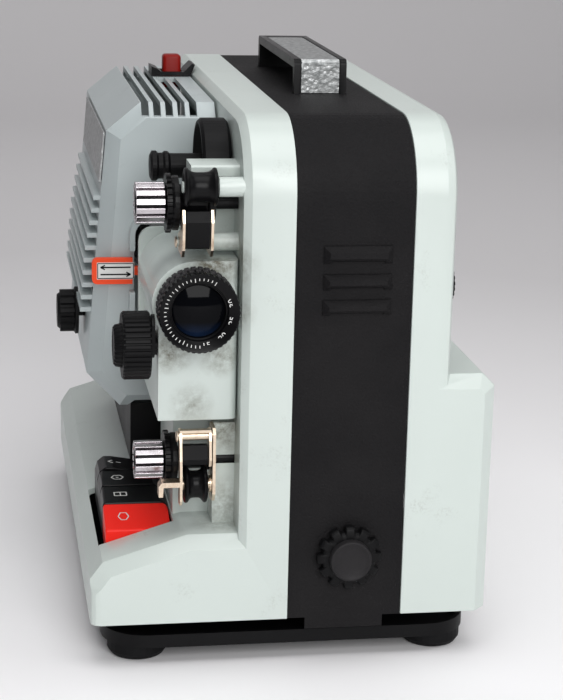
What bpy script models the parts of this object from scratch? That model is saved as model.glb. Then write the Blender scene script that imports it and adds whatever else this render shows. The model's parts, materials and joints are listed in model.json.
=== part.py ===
"""Dual-format 8 mm film projector: a tilting case on a base plate, the film path on its left side.

Lengths below are drawing millimetres. In the drawing x runs right, y back and z up, from the lower left
corner of the black centre band on the case's front. at() turns them into world metres.
"""

import math

import bmesh
import bpy
from mathutils import Vector

# Where the drawing's origin lies in the world, so that the object stands centred on z = 0.
DRAWING_ORIGIN = (2.15, -147.15, 22.4)

# Case.
CASE_DEPTH = 304.0
CASE_HEIGHT = 237.0
FRONT_TOP_RADIUS = 36.0
REAR_TOP_RADIUS = 20.0
WALL = 2.5
GAP = 0.4
BAND_WIDTH = 54.3
BAND_INSET = 0.6
BAND_THICKNESS = 2.0
LEFT_WALL_X = -24.0
LEFT_CHAMFER = 3.5
RIGHT_WALL_X = 75.0
RIGHT_CHAMFER = 5.5
BULGE_X = 97.4
BULGE_HEIGHT = 117.8
BULGE_CHAMFER = 6.0
APRON_X = -93.6
APRON_EDGE_Z = 21.5
APRON_RIM_X = -87.6
APRON_RIM_Z = 29.6
APRON_FLAT_X = -48.0
APRON_FLAT_Z = 42.0
APRON_CHAMFER = 6.0
APRON_END_X = -17.0

# Film bay walls behind the two sprockets.
BAY_X = -51.6
LOWER_BAY_Y = 38.0
BAY_STEP_X = -34.5
BAY_STEP_Y = 21.2
LOWER_BAY_BACK_Y = 98.4
LOWER_BAY_TOP = 92.0
UPPER_BAY_Y = 35.0
UPPER_BAY_BOTTOM = 176.0
LEDGE_Z = (209.6, 215.0)
LEDGE_Y = 17.3
LEDGE_X = -46.5

# Base plate, feet and tilt.
PLATE_X = (-87.5, 91.0)
PLATE_Y = (3.0, CASE_DEPTH - 8.0)
PLATE_Z = (-13.5, -7.0)
PLATE_FLOOR = 3.0
PLATE_CORNER = 22.0
PLATE_RIM = 2.2
FOOT_RADIUS = 14.5
FOOT_HEIGHT = 8.6
FOOT_X = (-70.0, 75.0)
FOOT_Y = (22.0, CASE_DEPTH - 27.0)
HINGE_Y = CASE_DEPTH - 16.0
HINGE_Z = -6.0
HINGE_PIN_RADIUS = 2.0
HINGE_CLEARANCE = 0.3
HINGE_EARS = (-60.0, 62.0)
TILT_KNOB = (28.0, 31.5)
TILT_PINION_RADIUS = 8.75
TILT_LEG_SIDE = 8.0
TILT_LEG_TOP = 62.0

# Handle.
HANDLE_X = (14.7, 41.2)
HANDLE_Y = (106.0, 229.0)
HANDLE_TOP = CASE_HEIGHT + 16.6
HANDLE_STRAP = 4.4
HANDLE_RAIL = 3.3
HANDLE_LEG = 26.0

# Optical line, lens carriage and lens.
OPTIC_X = -44.7
OPTIC_Z = 152.0
CARRIAGE_X = (-61.4, -24.6)
CARRIAGE_Y = (12.0, 88.0)
CARRIAGE_Z = (96.3, 171.8)
CARRIAGE_HINGE_RADIUS = 3.7
CARRIAGE_BOSS_RADIUS = 19.8
BARREL_RADIUS = 16.4
BARREL_CLEARANCE = 0.5
LENS_RING_RADIUS = 18.6
GLASS_RADIUS = 12.0
FOCUS_AXIS = (10.0, 133.5)
FOCUS_X = (-82.4, -65.6)
FOCUS_RADIUS = 15.8
FOCUS_SHAFT_RADIUS = 2.5

# Sprockets, rollers and their guides.
SPROCKET_Y = 24.0
UPPER_SPROCKET_Z = 196.8
LOWER_SPROCKET_Z = 73.9
SPROCKET_TIP_RADIUS = 13.7
SPROCKET_TEETH = 24
INCHING_KNOB_X = (-71.8, -57.9)
UPPER_KNOB_RADIUS = 9.8
LOWER_KNOB_RADIUS = 9.1
SHAFT_RADIUS = 3.0
BEARING_CLEARANCE = 0.5
UPPER_ROLLER = (8.0, 206.9)
LOWER_ROLLER = (12.0, 64.9)
BRACKET_X = (-36.4, -35.0)
ROLLER_FLANGE_RADIUS = 8.8
ROLLER_WAIST_RADIUS = 6.6
ROLLER_PIN_RADIUS = 2.6
UPPER_PIVOT = (22.0, 179.0)
LOWER_PIVOT = (9.0, 89.5)
GUIDE_PIN_RADIUS = 2.0
GUIDE_SHEET = 1.2

# Reel drive.
REEL_AXIS = (61.0, 207.9)
DRUM_RADIUS = 22.7
DRUM_X = (-38.5, -24.8)
SPINDLE_END_X = -61.4

# Lamphouse.
LAMP_FRONT_Y = 100.0
LAMP_BACK_Y = CASE_DEPTH - 32.0
LAMP_TOP_Z = CASE_HEIGHT - 5.0
LAMP_SHOULDER = 14.0
LAMP_CHAMFER = 7.0
LAMP_RIGHT_X = -25.2
LAMP_OPENING = ((-67.4, 98.0), (-27.0, 176.8))
LAMP_OPENING_CORNER = 9.0
LIP_OVERLAP = 0.6
LAMP_LIP = 2.0
LAMP_LIP_Y = 93.2
LAMP_SECTION = (
    (LAMP_RIGHT_X, 76.5),
    (LAMP_RIGHT_X, LAMP_TOP_Z),
    (-62.0, LAMP_TOP_Z),
    (-78.7, LAMP_TOP_Z - LAMP_SHOULDER),
    (-84.3, 153.0),
    (-88.8, 94.0),
    (-72.0, 76.5),
)
TOP_SLOT_X = (-59.8, -53.9, -47.9, -41.9, -36.0)
TOP_SLOT_WIDTH = 3.7
TOP_SLOT_DEPTH = 6.4
TOP_SLOT_ENDS = (*[LAMP_BACK_Y + 2.0] * 3, 210.0, 210.0)
FIN_TOP_Z = 184.0
FIN_PITCH = 6.35
FIN_COUNT = 10
FIN_THICKNESS = 2.2
FIN_Y = (108.0, LAMP_BACK_Y - 26.0)
FIN_REACH = 5.6
FIN_LEAST_REACH = 3.4
FIN_GROWTH = 0.5

# Speed dial on the right wall.
DIAL_AXIS = (35.0, 155.0)
DIAL_RADIUS = 8.5

# Side knob on the lamphouse.
SIDE_KNOB_AXIS = (150.0, 116.5)
SIDE_KNOB_RADIUS = 12.4
SIDE_KNOB_FRONT_X = -100.2

# Keys.
KEY_COUNT = 4
KEY_FRONT_Y = 30.0
KEY_PITCH = 20.2
KEY_WIDTH = 19.7
KEY_PIVOT = (-47.5, 33.0)
KEY_SECTION = (
    (-84.6, 25.5),
    (-84.6, 41.5),
    (-83.4, 45.8),
    (-80.4, 48.3),
    (-76.5, 48.2),
    (-64.5, 46.1),
    (-61.2, 47.2),
    (-58.6, 46.6),
    (-53.0, 41.2),
    (-53.0, 28.0),
)
KEY_TOPS = ((36.6, 43.1), (43.5, 45.3), (45.7, 46.9), None)
KEY_CUTTER_TOP = 60.0

PALE_GREEN = (0.60, 0.67, 0.64)
BAND_BLACK = (0.018, 0.018, 0.019)
GLOSS_BLACK = (0.012, 0.012, 0.014)
SOFT_BLACK = (0.020, 0.020, 0.022)
SIGNAL_RED = (0.72, 0.035, 0.02)
ORANGE_RED = (0.78, 0.10, 0.035)
CHROME = (0.80, 0.78, 0.79)
GUIDE_GOLD = (0.62, 0.52, 0.42)
STEEL = (0.55, 0.55, 0.56)
SILVER = (0.62, 0.63, 0.64)


def at(x, y, z):
    """World metres of a point of the drawing."""
    return Vector((x + DRAWING_ORIGIN[0], y + DRAWING_ORIGIN[1], z + DRAWING_ORIGIN[2])) * 0.001


for leftover in list(bpy.data.objects):
    bpy.data.objects.remove(leftover, do_unlink=True)

projector = bpy.data.collections.new("film_projector")
bpy.context.scene.collection.children.link(projector)
cutters = bpy.data.collections.new("cutters")
bpy.context.scene.collection.children.link(cutters)
cutters.hide_render = True


def finish_material(obj, colour, roughness, metallic=0.0):
    """Gives the object its own Principled material."""
    material = bpy.data.materials.new(obj.name)
    material.use_nodes = True
    shader = material.node_tree.nodes["Principled BSDF"]
    shader.inputs["Base Color"].default_value = (*colour, 1.0)
    shader.inputs["Roughness"].default_value = roughness
    shader.inputs["Metallic"].default_value = metallic
    material.diffuse_color = (*colour, 1.0)
    obj.data.materials.clear()
    obj.data.materials.append(material)


def smooth(obj, degrees=35.0):
    obj.data.shade_smooth()
    obj.data.set_sharp_from_angle(angle=math.radians(degrees))


def mesh_object(name, bm, collection, location, rotation=(0.0, 0.0, 0.0)):
    mesh = bpy.data.meshes.new(name)
    bm.to_mesh(mesh)
    bm.free()
    obj = bpy.data.objects.new(name, mesh)
    collection.objects.link(obj)
    obj.location = location
    obj.rotation_euler = rotation
    if collection is cutters:
        obj.hide_render = True
        obj.display_type = "WIRE"
    return obj


def block(name, low, high, collection=projector, origin=None):
    """A box between two corners of the drawing, its origin at the given point or its middle."""
    size = [(b - a) * 0.001 for a, b in zip(low, high)]
    middle = at(*[(a + b) / 2 for a, b in zip(low, high)])
    pivot = at(*origin) if origin else middle
    bm = bmesh.new()
    bmesh.ops.create_cube(bm, size=1.0)
    bmesh.ops.scale(bm, vec=size, verts=bm.verts)
    bmesh.ops.translate(bm, vec=middle - pivot, verts=bm.verts)
    return mesh_object(name, bm, collection, pivot)


AXES = {
    "x": (0.0, math.pi / 2, 0.0),
    "-x": (0.0, -math.pi / 2, 0.0),
    "y": (-math.pi / 2, 0.0, 0.0),
    "-y": (math.pi / 2, 0.0, 0.0),
    "z": (0.0, 0.0, 0.0),
}


def cylinder(name, start, axis, length, radius, collection=projector, sides=32):
    """A solid cylinder running from a point of the drawing along an axis."""
    bm = bmesh.new()
    bmesh.ops.create_cone(
        bm,
        cap_ends=True,
        segments=sides,
        radius1=radius * 0.001,
        radius2=radius * 0.001,
        depth=length * 0.001,
    )
    bmesh.ops.translate(bm, vec=(0.0, 0.0, length * 0.0005), verts=bm.verts)
    obj = mesh_object(name, bm, collection, at(*start), AXES[axis])
    smooth(obj)
    return obj


def turned(name, start, axis, profile, collection=projector, steps=36, ring=False):
    """A Screw-turned piece: (radius, height) points from the far end down the outer side to the start."""
    bm = bmesh.new()
    points = [bm.verts.new((r * 0.001, 0.0, h * 0.001)) for r, h in profile]
    for first, second in zip(points, points[1:]):
        bm.edges.new((first, second))
    if ring:
        bm.edges.new((points[-1], points[0]))
    obj = mesh_object(name, bm, collection, at(*start), AXES[axis])
    screw = obj.modifiers.new("turn", "SCREW")
    screw.steps = steps
    screw.render_steps = steps
    screw.use_merge_vertices = True
    screw.merge_threshold = 0.00001
    return baked(obj)


def baked(obj):
    """The object with its modifiers applied to its mesh."""
    bpy.context.view_layer.update()
    graph = bpy.context.evaluated_depsgraph_get()
    mesh = bpy.data.meshes.new_from_object(obj.evaluated_get(graph))
    bm = bmesh.new()
    bm.from_mesh(mesh)
    bmesh.ops.remove_doubles(bm, verts=bm.verts, dist=0.000002)
    bmesh.ops.recalc_face_normals(bm, faces=bm.faces)
    bm.to_mesh(mesh)
    bm.free()
    obj.modifiers.clear()
    obj.data = mesh
    smooth(obj)
    return obj


PLANES = {"xz": (math.pi / 2, 0.0, 0.0), "yz": (math.pi / 2, 0.0, math.pi / 2), "xy": (0.0, 0.0, 0.0)}


def plate(name, plane, outline, span, collection=projector, origin=(0.0, 0.0, 0.0), holes=()):
    """A flat outline of the drawing, given in one plane and thick across span, as a filled 2D curve."""
    curve = bpy.data.curves.new(name, "CURVE")
    curve.dimensions = "2D"
    curve.fill_mode = "BOTH"
    curve.extrude = abs(span[1] - span[0]) * 0.0005
    first = {"xz": 0, "yz": 1, "xy": 0}[plane]
    second = {"xz": 2, "yz": 2, "xy": 1}[plane]
    across = {"xz": 1, "yz": 0, "xy": 2}[plane]
    for loop in (outline, *holes):
        spline = curve.splines.new("POLY")
        spline.points.add(len(loop) - 1)
        for point, (a, b) in zip(spline.points, loop):
            point.co = ((a - origin[first]) * 0.001, (b - origin[second]) * 0.001, 0.0, 1.0)
        spline.use_cyclic_u = True
    shape = bpy.data.objects.new(name + "_outline", curve)
    bpy.context.scene.collection.objects.link(shape)
    bpy.context.view_layer.update()
    mesh = bpy.data.meshes.new_from_object(shape.evaluated_get(bpy.context.evaluated_depsgraph_get()))
    bpy.data.objects.remove(shape, do_unlink=True)
    bm = bmesh.new()
    bm.from_mesh(mesh)
    bmesh.ops.remove_doubles(bm, verts=bm.verts, dist=0.000002)
    bmesh.ops.dissolve_limit(bm, angle_limit=0.002, verts=bm.verts, edges=bm.edges)
    bmesh.ops.recalc_face_normals(bm, faces=bm.faces)
    shift = (span[0] + span[1]) / 2 - origin[across]
    bmesh.ops.translate(bm, vec=(0.0, 0.0, shift * (-0.001 if plane == "xz" else 0.001)), verts=bm.verts)
    obj = mesh_object(name, bm, collection, at(*origin), PLANES[plane])
    bpy.data.meshes.remove(mesh)
    return obj


def boolean(obj, other, operation):
    modifier = obj.modifiers.new(other.name, "BOOLEAN")
    modifier.operation = operation
    modifier.solver = "EXACT"
    modifier.object = other


def cut(obj, *others):
    for other in others:
        boolean(obj, other, "DIFFERENCE")
    return obj


def join(obj, *others):
    """Adds cutter-collection solids to a piece."""
    for other in others:
        boolean(obj, other, "UNION")
    return obj


def bevel(obj, width, segments=1, angle=30.0):
    modifier = obj.modifiers.new("edges", "BEVEL")
    modifier.width = width * 0.001
    modifier.segments = segments
    modifier.limit_method = "ANGLE"
    modifier.angle_limit = math.radians(angle)
    return obj


def bevel_where(obj, width, segments, chosen):
    """Bevels the edges whose two ends both satisfy a test on local millimetres."""
    mesh = obj.data
    bm = bmesh.new()
    bm.from_mesh(mesh)
    edges = [
        edge
        for edge in bm.edges
        if chosen(*[vert.co * 1000 for vert in edge.verts]) and len(edge.link_faces) == 2
        and edge.calc_face_angle(0.0) > 0.3
    ]
    bmesh.ops.bevel(
        bm,
        geom=edges,
        offset=width * 0.001,
        segments=segments,
        profile=0.5,
        affect="EDGES",
        clamp_overlap=True,
    )
    bmesh.ops.recalc_face_normals(bm, faces=bm.faces)
    bm.to_mesh(mesh)
    bm.free()
    return obj


def arc(cx, cy, radius, start, end, count):
    return [
        (
            cx + radius * math.cos(math.radians(start + (end - start) * i / count)),
            cy + radius * math.sin(math.radians(start + (end - start) * i / count)),
        )
        for i in range(count + 1)
    ]


def rounded_rectangle(low, high, radius, count=6):
    (x0, y0), (x1, y1) = low, high
    return (
        arc(x1 - radius, y1 - radius, radius, 0, 90, count)
        + arc(x0 + radius, y1 - radius, radius, 90, 180, count)
        + arc(x0 + radius, y0 + radius, radius, 180, 270, count)
        + arc(x1 - radius, y0 + radius, radius, 270, 360, count)
    )


def case_outline(inset, bottom):
    """The case's side outline in (y, z), moved in all round, from its open bottom."""
    front = FRONT_TOP_RADIUS - inset
    rear = REAR_TOP_RADIUS - inset
    return (
        [(inset, bottom)]
        + arc(FRONT_TOP_RADIUS, CASE_HEIGHT - FRONT_TOP_RADIUS, front, 180, 90, 12)
        + arc(CASE_DEPTH - REAR_TOP_RADIUS, CASE_HEIGHT - REAR_TOP_RADIUS, rear, 90, 0, 7)
        + [(CASE_DEPTH - inset, bottom)]
    )


GEAR_TOP_SHARE = 0.62


def gear(name, start, axis, length, root, tip, teeth, collection, land=0.45):
    """A toothed disc: a ring of flat-topped teeth drawn as one outline."""
    outline = []
    for i in range(teeth):
        step = 2 * math.pi / teeth
        top = land * GEAR_TOP_SHARE
        for radius, where in ((root, -0.5), (root, -land), (tip, -top), (tip, top), (root, land)):
            angle = (i + where) * step
            outline.append((radius * math.cos(angle), radius * math.sin(angle)))
    obj = plate(name, "xy", outline, (0.0, length), collection)
    obj.location = at(*start)
    obj.rotation_euler = AXES[axis]
    return obj


# ---------------------------------------------------------------- stand

base_plate = plate(
    "base_plate",
    "xy",
    rounded_rectangle((PLATE_X[0], PLATE_Y[0]), (PLATE_X[1], PLATE_Y[1]), PLATE_CORNER, 8),
    PLATE_Z,
    origin=(0.0, 150.0, PLATE_Z[0]),
)
cut(
    base_plate,
    plate(
        "plate_well",
        "xy",
        rounded_rectangle(
            (PLATE_X[0] + PLATE_RIM, PLATE_Y[0] + PLATE_RIM),
            (PLATE_X[1] - PLATE_RIM, PLATE_Y[1] - PLATE_RIM),
            PLATE_CORNER - PLATE_RIM,
            8,
        ),
        (PLATE_Z[0] + PLATE_FLOOR, PLATE_Z[1] + 2.0),
        cutters,
        origin=(0.0, 150.0, PLATE_Z[0]),
    ),
)
for index, x in enumerate(HINGE_EARS):
    join(
        base_plate,
        block(
            f"ear_{index}", (x, HINGE_Y - 3, PLATE_Z[0] + 1), (x + 5, HINGE_Y + 3, HINGE_Z + 3.1), cutters
        ),
    )
cut(
    base_plate,
    cylinder(
        "ear_bore",
        (HINGE_EARS[0] - 2, HINGE_Y, HINGE_Z),
        "x",
        HINGE_EARS[1] - HINGE_EARS[0] + 9,
        HINGE_PIN_RADIUS + HINGE_CLEARANCE,
        cutters,
        16,
    ),
)
finish_material(base_plate, SOFT_BLACK, 0.45)

tilt_pin = cylinder(
    "tilt_pin",
    (HINGE_EARS[0], HINGE_Y, HINGE_Z),
    "x",
    HINGE_EARS[1] - HINGE_EARS[0] + 5,
    HINGE_PIN_RADIUS,
    sides=16,
)
finish_material(tilt_pin, STEEL, 0.3, 1.0)

for side, x in zip(("left", "right"), FOOT_X):
    for end, y in zip(("front", "rear"), FOOT_Y):
        foot = turned(
            f"foot_{end}_{side}",
            (x, y, PLATE_Z[0] - 0.3 - FOOT_HEIGHT),
            "z",
            [
                (0.0, FOOT_HEIGHT),
                (FOOT_RADIUS, FOOT_HEIGHT),
                (FOOT_RADIUS, 3.2),
                (FOOT_RADIUS - 1.6, 0.8),
                (FOOT_RADIUS - 3.4, 0.0),
                (0.0, 0.0),
            ],
            steps=28,
        )
        finish_material(foot, SOFT_BLACK, 0.6)

# ---------------------------------------------------------------- case shells

under_pan = plate(
    "under_pan",
    "xy",
    rounded_rectangle((-86.0, 7.0), (90.0, CASE_DEPTH - 6.0), 14.0, 4),
    (-2.4, -0.4),
    origin=(0.0, HINGE_Y, HINGE_Z),
)
for index, x in enumerate((HINGE_EARS[0] + 6, HINGE_EARS[1] - 7)):
    join(
        under_pan,
        block(f"knuckle_{index}", (x, HINGE_Y - 3.4, HINGE_Z - 3.2), (x + 6, HINGE_Y + 3.4, -1.0), cutters),
    )
leg_x = TILT_KNOB[0] + TILT_PINION_RADIUS + 0.4
cut(
    under_pan,
    cylinder(
        "knuckle_bore",
        (HINGE_EARS[0], HINGE_Y, HINGE_Z),
        "x",
        HINGE_EARS[1] - HINGE_EARS[0] + 5,
        HINGE_PIN_RADIUS + HINGE_CLEARANCE,
        cutters,
        16,
    ),
    block("leg_hole", (leg_x - 1, 11, -4), (leg_x + TILT_LEG_SIDE + 1, 21, 2), cutters),
    *[block(f"vent_{i}", (-60, 120 + 12 * i, -4), (-20, 125 + 12 * i, 2), cutters) for i in range(4)],
)
finish_material(under_pan, SOFT_BLACK, 0.5)

left_casing = plate("left_casing", "yz", case_outline(0.0, 0.0), (LEFT_WALL_X, -GAP), origin=(0.0, 0.0, 0.0))
bevel_where(
    left_casing,
    LEFT_CHAMFER,
    1,
    lambda a, b: max(a.z, b.z) < LEFT_WALL_X + 0.01 and min(a.y, b.y) > -0.01 and max(a.y, b.y) > 0.01,
)
apron_outline = [
    (APRON_X, 0.0),
    (APRON_X, APRON_EDGE_Z),
    (APRON_RIM_X, APRON_RIM_Z),
    (APRON_FLAT_X, APRON_FLAT_Z),
    (APRON_END_X, APRON_FLAT_Z),
    (APRON_END_X, 0.0),
]
apron = plate("apron", "xz", apron_outline, (0.0, CASE_DEPTH), cutters)
bevel_where(
    apron,
    APRON_CHAMFER,
    1,
    lambda a, b: abs(a.z - b.z) < 0.01 and max(a.z, b.z) > -0.1 and min(a.y, b.y) > APRON_EDGE_Z - 0.1,
)
bevel_where(
    apron,
    5.0,
    3,
    lambda a, b: max(a.x, b.x) < APRON_X + 0.01 and min(a.y, b.y) < 0.1 and abs(a.z - b.z) < 0.01,
)
apron_cavity = plate(
    "apron_cavity",
    "xz",
    [
        (APRON_X + WALL, -2.0),
        (APRON_X + WALL, APRON_EDGE_Z - 1.5),
        (APRON_RIM_X + 0.8, APRON_RIM_Z - WALL - 0.3),
        (APRON_FLAT_X + 0.4, APRON_FLAT_Z - WALL),
        (APRON_END_X + 3.0, APRON_FLAT_Z - WALL),
        (APRON_END_X + 3.0, -2.0),
    ],
    (7.0, CASE_DEPTH - 7.0),
    cutters,
)
case_cavity_left = plate(
    "case_cavity_left", "yz", case_outline(WALL, -2.0), (LEFT_WALL_X + WALL, 3.0), cutters
)
lower_bay = block(
    "lower_bay",
    (BAY_X, LOWER_BAY_Y, APRON_FLAT_Z - 1.0),
    (LEFT_WALL_X + 1, LOWER_BAY_BACK_Y, LOWER_BAY_TOP),
    cutters,
)
lower_bay_cavity = block(
    "lower_bay_cavity",
    (BAY_X + WALL, LOWER_BAY_Y + WALL, APRON_FLAT_Z - 4.0),
    (LEFT_WALL_X + 4, LOWER_BAY_BACK_Y + 2, LOWER_BAY_TOP - WALL),
    cutters,
)
upper_bay = plate(
    "upper_bay",
    "yz",
    [
        (LEDGE_Y, LEDGE_Z[0] + 0.6),
        (LEDGE_Y, LEDGE_Z[1] - 0.8),
        (LEDGE_Y + 0.8, LEDGE_Z[1]),
        (UPPER_BAY_Y + 2.4, LEDGE_Z[1]),
        (UPPER_BAY_Y + 2.4, UPPER_BAY_BOTTOM),
        (UPPER_BAY_Y, UPPER_BAY_BOTTOM),
        (UPPER_BAY_Y, LEDGE_Z[0]),
        (LEDGE_Y + 0.6, LEDGE_Z[0]),
    ],
    (LEDGE_X, LEFT_WALL_X + 1),
    cutters,
)
bay_step = block(
    "bay_step",
    (BAY_STEP_X, BAY_STEP_Y, APRON_FLAT_Z - 1.0),
    (LEFT_WALL_X + 1, LOWER_BAY_Y + 4, LOWER_BAY_TOP),
    cutters,
)
join(left_casing, apron, lower_bay, bay_step, upper_bay)
cut(left_casing, case_cavity_left, apron_cavity, lower_bay_cavity)


def pin(name, y, z, steps, collection=cutters):
    """A post standing out of the left wall: (start x, end x, radius) runs, as one turned solid."""
    points = [(0.0, -steps[0][0])]
    for start, end, radius in steps:
        points += [(radius, -start), (radius, -end)]
    points.append((0.0, -steps[-1][1]))
    return turned(name, (0.0, y, z), "-x", points, collection, 20)


posts = [
    pin("upper_roller_post", *UPPER_ROLLER, [(-51.6, -35.0, ROLLER_PIN_RADIUS), (-35.0, -23.0, 4.6)]),
    pin("upper_guide_post", *UPPER_PIVOT, [(-52.4, -35.6, GUIDE_PIN_RADIUS), (-35.6, -23.0, 4.3)]),
]
join(left_casing, *posts)
cut(
    left_casing,
    block(
        "key_well",
        (-88.0, KEY_FRONT_Y - 0.7, 22.0),
        (-52.2, KEY_FRONT_Y + KEY_COUNT * KEY_PITCH + 0.6, 52.0),
        cutters,
    ),
    block("shutter_slot", (-30.0, 95.4, 105.0), (-18.0, 99.6, 199.0), cutters),
    cylinder(
        "upper_shaft_hole",
        (-30, SPROCKET_Y, UPPER_SPROCKET_Z),
        "x",
        12,
        SHAFT_RADIUS + BEARING_CLEARANCE,
        cutters,
        20,
    ),
    cylinder(
        "lower_shaft_hole",
        (-37, SPROCKET_Y, LOWER_SPROCKET_Z),
        "x",
        19,
        SHAFT_RADIUS + BEARING_CLEARANCE,
        cutters,
        20,
    ),
    cylinder("drum_shaft_hole", (-30, *REEL_AXIS), "x", 12, SHAFT_RADIUS + BEARING_CLEARANCE, cutters, 20),
    block("lamp_air_way", (-30.0, 130.0, 95.0), (-18.0, 250.0, 215.0), cutters),
)
finish_material(left_casing, PALE_GREEN, 0.28)

right_casing = plate(
    "right_casing", "yz", case_outline(0.0, 0.0), (BAND_WIDTH + GAP, RIGHT_WALL_X), origin=(0.0, 0.0, 0.0)
)
bevel_where(
    right_casing,
    RIGHT_CHAMFER,
    2,
    lambda a, b: min(a.z, b.z) > RIGHT_WALL_X - 0.01 and max(a.y, b.y) > 0.01,
)
bulge = plate(
    "bulge",
    "xz",
    [
        (60.0, 0.0),
        (BULGE_X, 0.0),
        (BULGE_X, BULGE_HEIGHT - BULGE_CHAMFER),
        (BULGE_X - BULGE_CHAMFER, BULGE_HEIGHT),
        (60.0, BULGE_HEIGHT),
    ],
    (0.0, CASE_DEPTH),
    cutters,
)
bevel_where(
    bulge,
    BULGE_CHAMFER,
    1,
    lambda a, b: abs(a.z - b.z) < 0.01 and max(a.y, b.y) > 0.1 and max(a.x, b.x) > 61.0,
)
join(right_casing, bulge)
cut(
    right_casing,
    plate(
        "case_cavity_right",
        "yz",
        case_outline(WALL, -2.0),
        (BAND_WIDTH - 3.0, RIGHT_WALL_X - WALL),
        cutters,
    ),
    block("bulge_cavity", (58.0, 7.0, -2.0), (BULGE_X - WALL, CASE_DEPTH - 7.0, BULGE_HEIGHT - 7.0), cutters),
    cylinder(
        "dial_hole", (RIGHT_WALL_X - 6, *DIAL_AXIS), "x", 8, SHAFT_RADIUS + BEARING_CLEARANCE, cutters, 20
    ),
)
finish_material(right_casing, PALE_GREEN, 0.28)

centre_band = plate(
    "centre_band",
    "yz",
    case_outline(BAND_INSET, 0.0) + case_outline(BAND_INSET + BAND_THICKNESS, 0.0)[::-1],
    (0.0, BAND_WIDTH),
    origin=(0.0, 0.0, 0.0),
)
for index, (low, high) in enumerate(((172.6, 180.6), (160.2, 167.4), (148.3, 155.4))):
    hood = block(f"hood_{index}", (12.6, -2.8, low), (44.6, 1.6, high), cutters)
    bevel_where(hood, 2.6, 1, lambda a, b: max(a.y, b.y) < 0.0 and (a.y + b.y) / 2 < -2.0)
    join(centre_band, hood)
    cut(
        centre_band,
        block(f"louvre_{index}", (16.0, -1.6, low - 1.5), (41.0, 0.2, low + 3.6), cutters),
        block(f"louvre_way_{index}", (16.0, -0.4, low + 0.9), (41.0, 4.0, low + 3.6), cutters),
    )
join(centre_band, block("tab", (8.3, BAND_INSET, -5.8), (45.9, BAND_INSET + BAND_THICKNESS, 3.0), cutters))
cut(
    centre_band,
    cylinder(
        "tilt_shaft_hole",
        (TILT_KNOB[0], -4, TILT_KNOB[1]),
        "y",
        10,
        SHAFT_RADIUS + BEARING_CLEARANCE,
        cutters,
        20,
    ),
    block("inlet_hole", (14.0, CASE_DEPTH - 6, 26.0), (42.0, CASE_DEPTH + 4, 50.0), cutters),
    *[
        block(
            f"handle_slot_{i}",
            (HANDLE_X[0] - 0.5, y - 0.5, CASE_HEIGHT - 6),
            (HANDLE_X[1] + 0.5, y + HANDLE_STRAP + 0.5, CASE_HEIGHT + 3),
            cutters,
        )
        for i, y in enumerate((HANDLE_Y[0], HANDLE_Y[1] - HANDLE_STRAP))
    ],
)
finish_material(centre_band, BAND_BLACK, 0.6)

mains_inlet = block("mains_inlet", (14.5, CASE_DEPTH - 19.0, 26.5), (41.5, CASE_DEPTH + 0.6, 49.5))
bevel_where(mains_inlet, 2.0, 2, lambda a, b: abs(a.y - b.y) > 5.0)
inlet_mouth = block("inlet_mouth", (17.5, CASE_DEPTH - 14.0, 30.0), (38.5, CASE_DEPTH + 3, 46.0), cutters)
cut(mains_inlet, inlet_mouth)
join(
    mains_inlet,
    *[
        block(f"inlet_pin_{i}", (x, CASE_DEPTH - 16.0, 36.0), (x + 2.0, CASE_DEPTH - 2.0, 40.0), cutters)
        for i, x in enumerate((22.0, 32.0))
    ],
)
finish_material(mains_inlet, SOFT_BLACK, 0.5)

# ---------------------------------------------------------------- tilt drive

tilt_ring = gear("tilt_ring", (TILT_KNOB[0], -6.0, TILT_KNOB[1]), "y", 5.0, 13.0, 15.6, 12, projector, 0.32)
finish_material(tilt_ring, SOFT_BLACK, 0.5)

tilt_cap = turned(
    "tilt_cap",
    (TILT_KNOB[0], -6.3, TILT_KNOB[1]),
    "-y",
    [(0.0, 3.2), (8.2, 3.4), (9.0, 4.0), (9.9, 3.6), (9.9, 0.0), (0.0, 0.0)],
    steps=36,
)
finish_material(tilt_cap, SOFT_BLACK, 0.45)

tilt_shaft = turned(
    "tilt_shaft",
    (TILT_KNOB[0], -0.6, TILT_KNOB[1]),
    "y",
    [
        (0.0, 21.6),
        (TILT_PINION_RADIUS, 21.6),
        (TILT_PINION_RADIUS, 11.6),
        (SHAFT_RADIUS, 11.6),
        (SHAFT_RADIUS, 0.0),
        (0.0, 0.0),
    ],
    steps=32,
)
finish_material(tilt_shaft, STEEL, 0.3, 1.0)

tilt_leg = block(
    "tilt_leg",
    (leg_x, 12.0, PLATE_Z[0] + PLATE_FLOOR + 0.6),
    (leg_x + TILT_LEG_SIDE, 20.0, TILT_LEG_TOP),
)
bevel_where(tilt_leg, 1.2, 1, lambda a, b: max(a.z, b.z) < -20.0)
finish_material(tilt_leg, STEEL, 0.35, 1.0)

# ---------------------------------------------------------------- handle

handle_outline = (
    [(HANDLE_Y[0], CASE_HEIGHT - HANDLE_LEG)]
    + arc(HANDLE_Y[0] + 3.0, HANDLE_TOP - 3.0, 3.0, 180, 90, 4)
    + arc(HANDLE_Y[1] - 3.0, HANDLE_TOP - 3.0, 3.0, 90, 0, 4)
    + [
        (HANDLE_Y[1], CASE_HEIGHT - HANDLE_LEG),
        (HANDLE_Y[1] - HANDLE_STRAP, CASE_HEIGHT - HANDLE_LEG),
        (HANDLE_Y[1] - HANDLE_STRAP, HANDLE_TOP - HANDLE_STRAP),
        (HANDLE_Y[0] + HANDLE_STRAP, HANDLE_TOP - HANDLE_STRAP),
        (HANDLE_Y[0] + HANDLE_STRAP, CASE_HEIGHT - HANDLE_LEG),
    ]
)
handle_frame = plate(
    "handle_frame", "yz", handle_outline, HANDLE_X, origin=(28.0, 172.0, CASE_HEIGHT)
)
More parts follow.
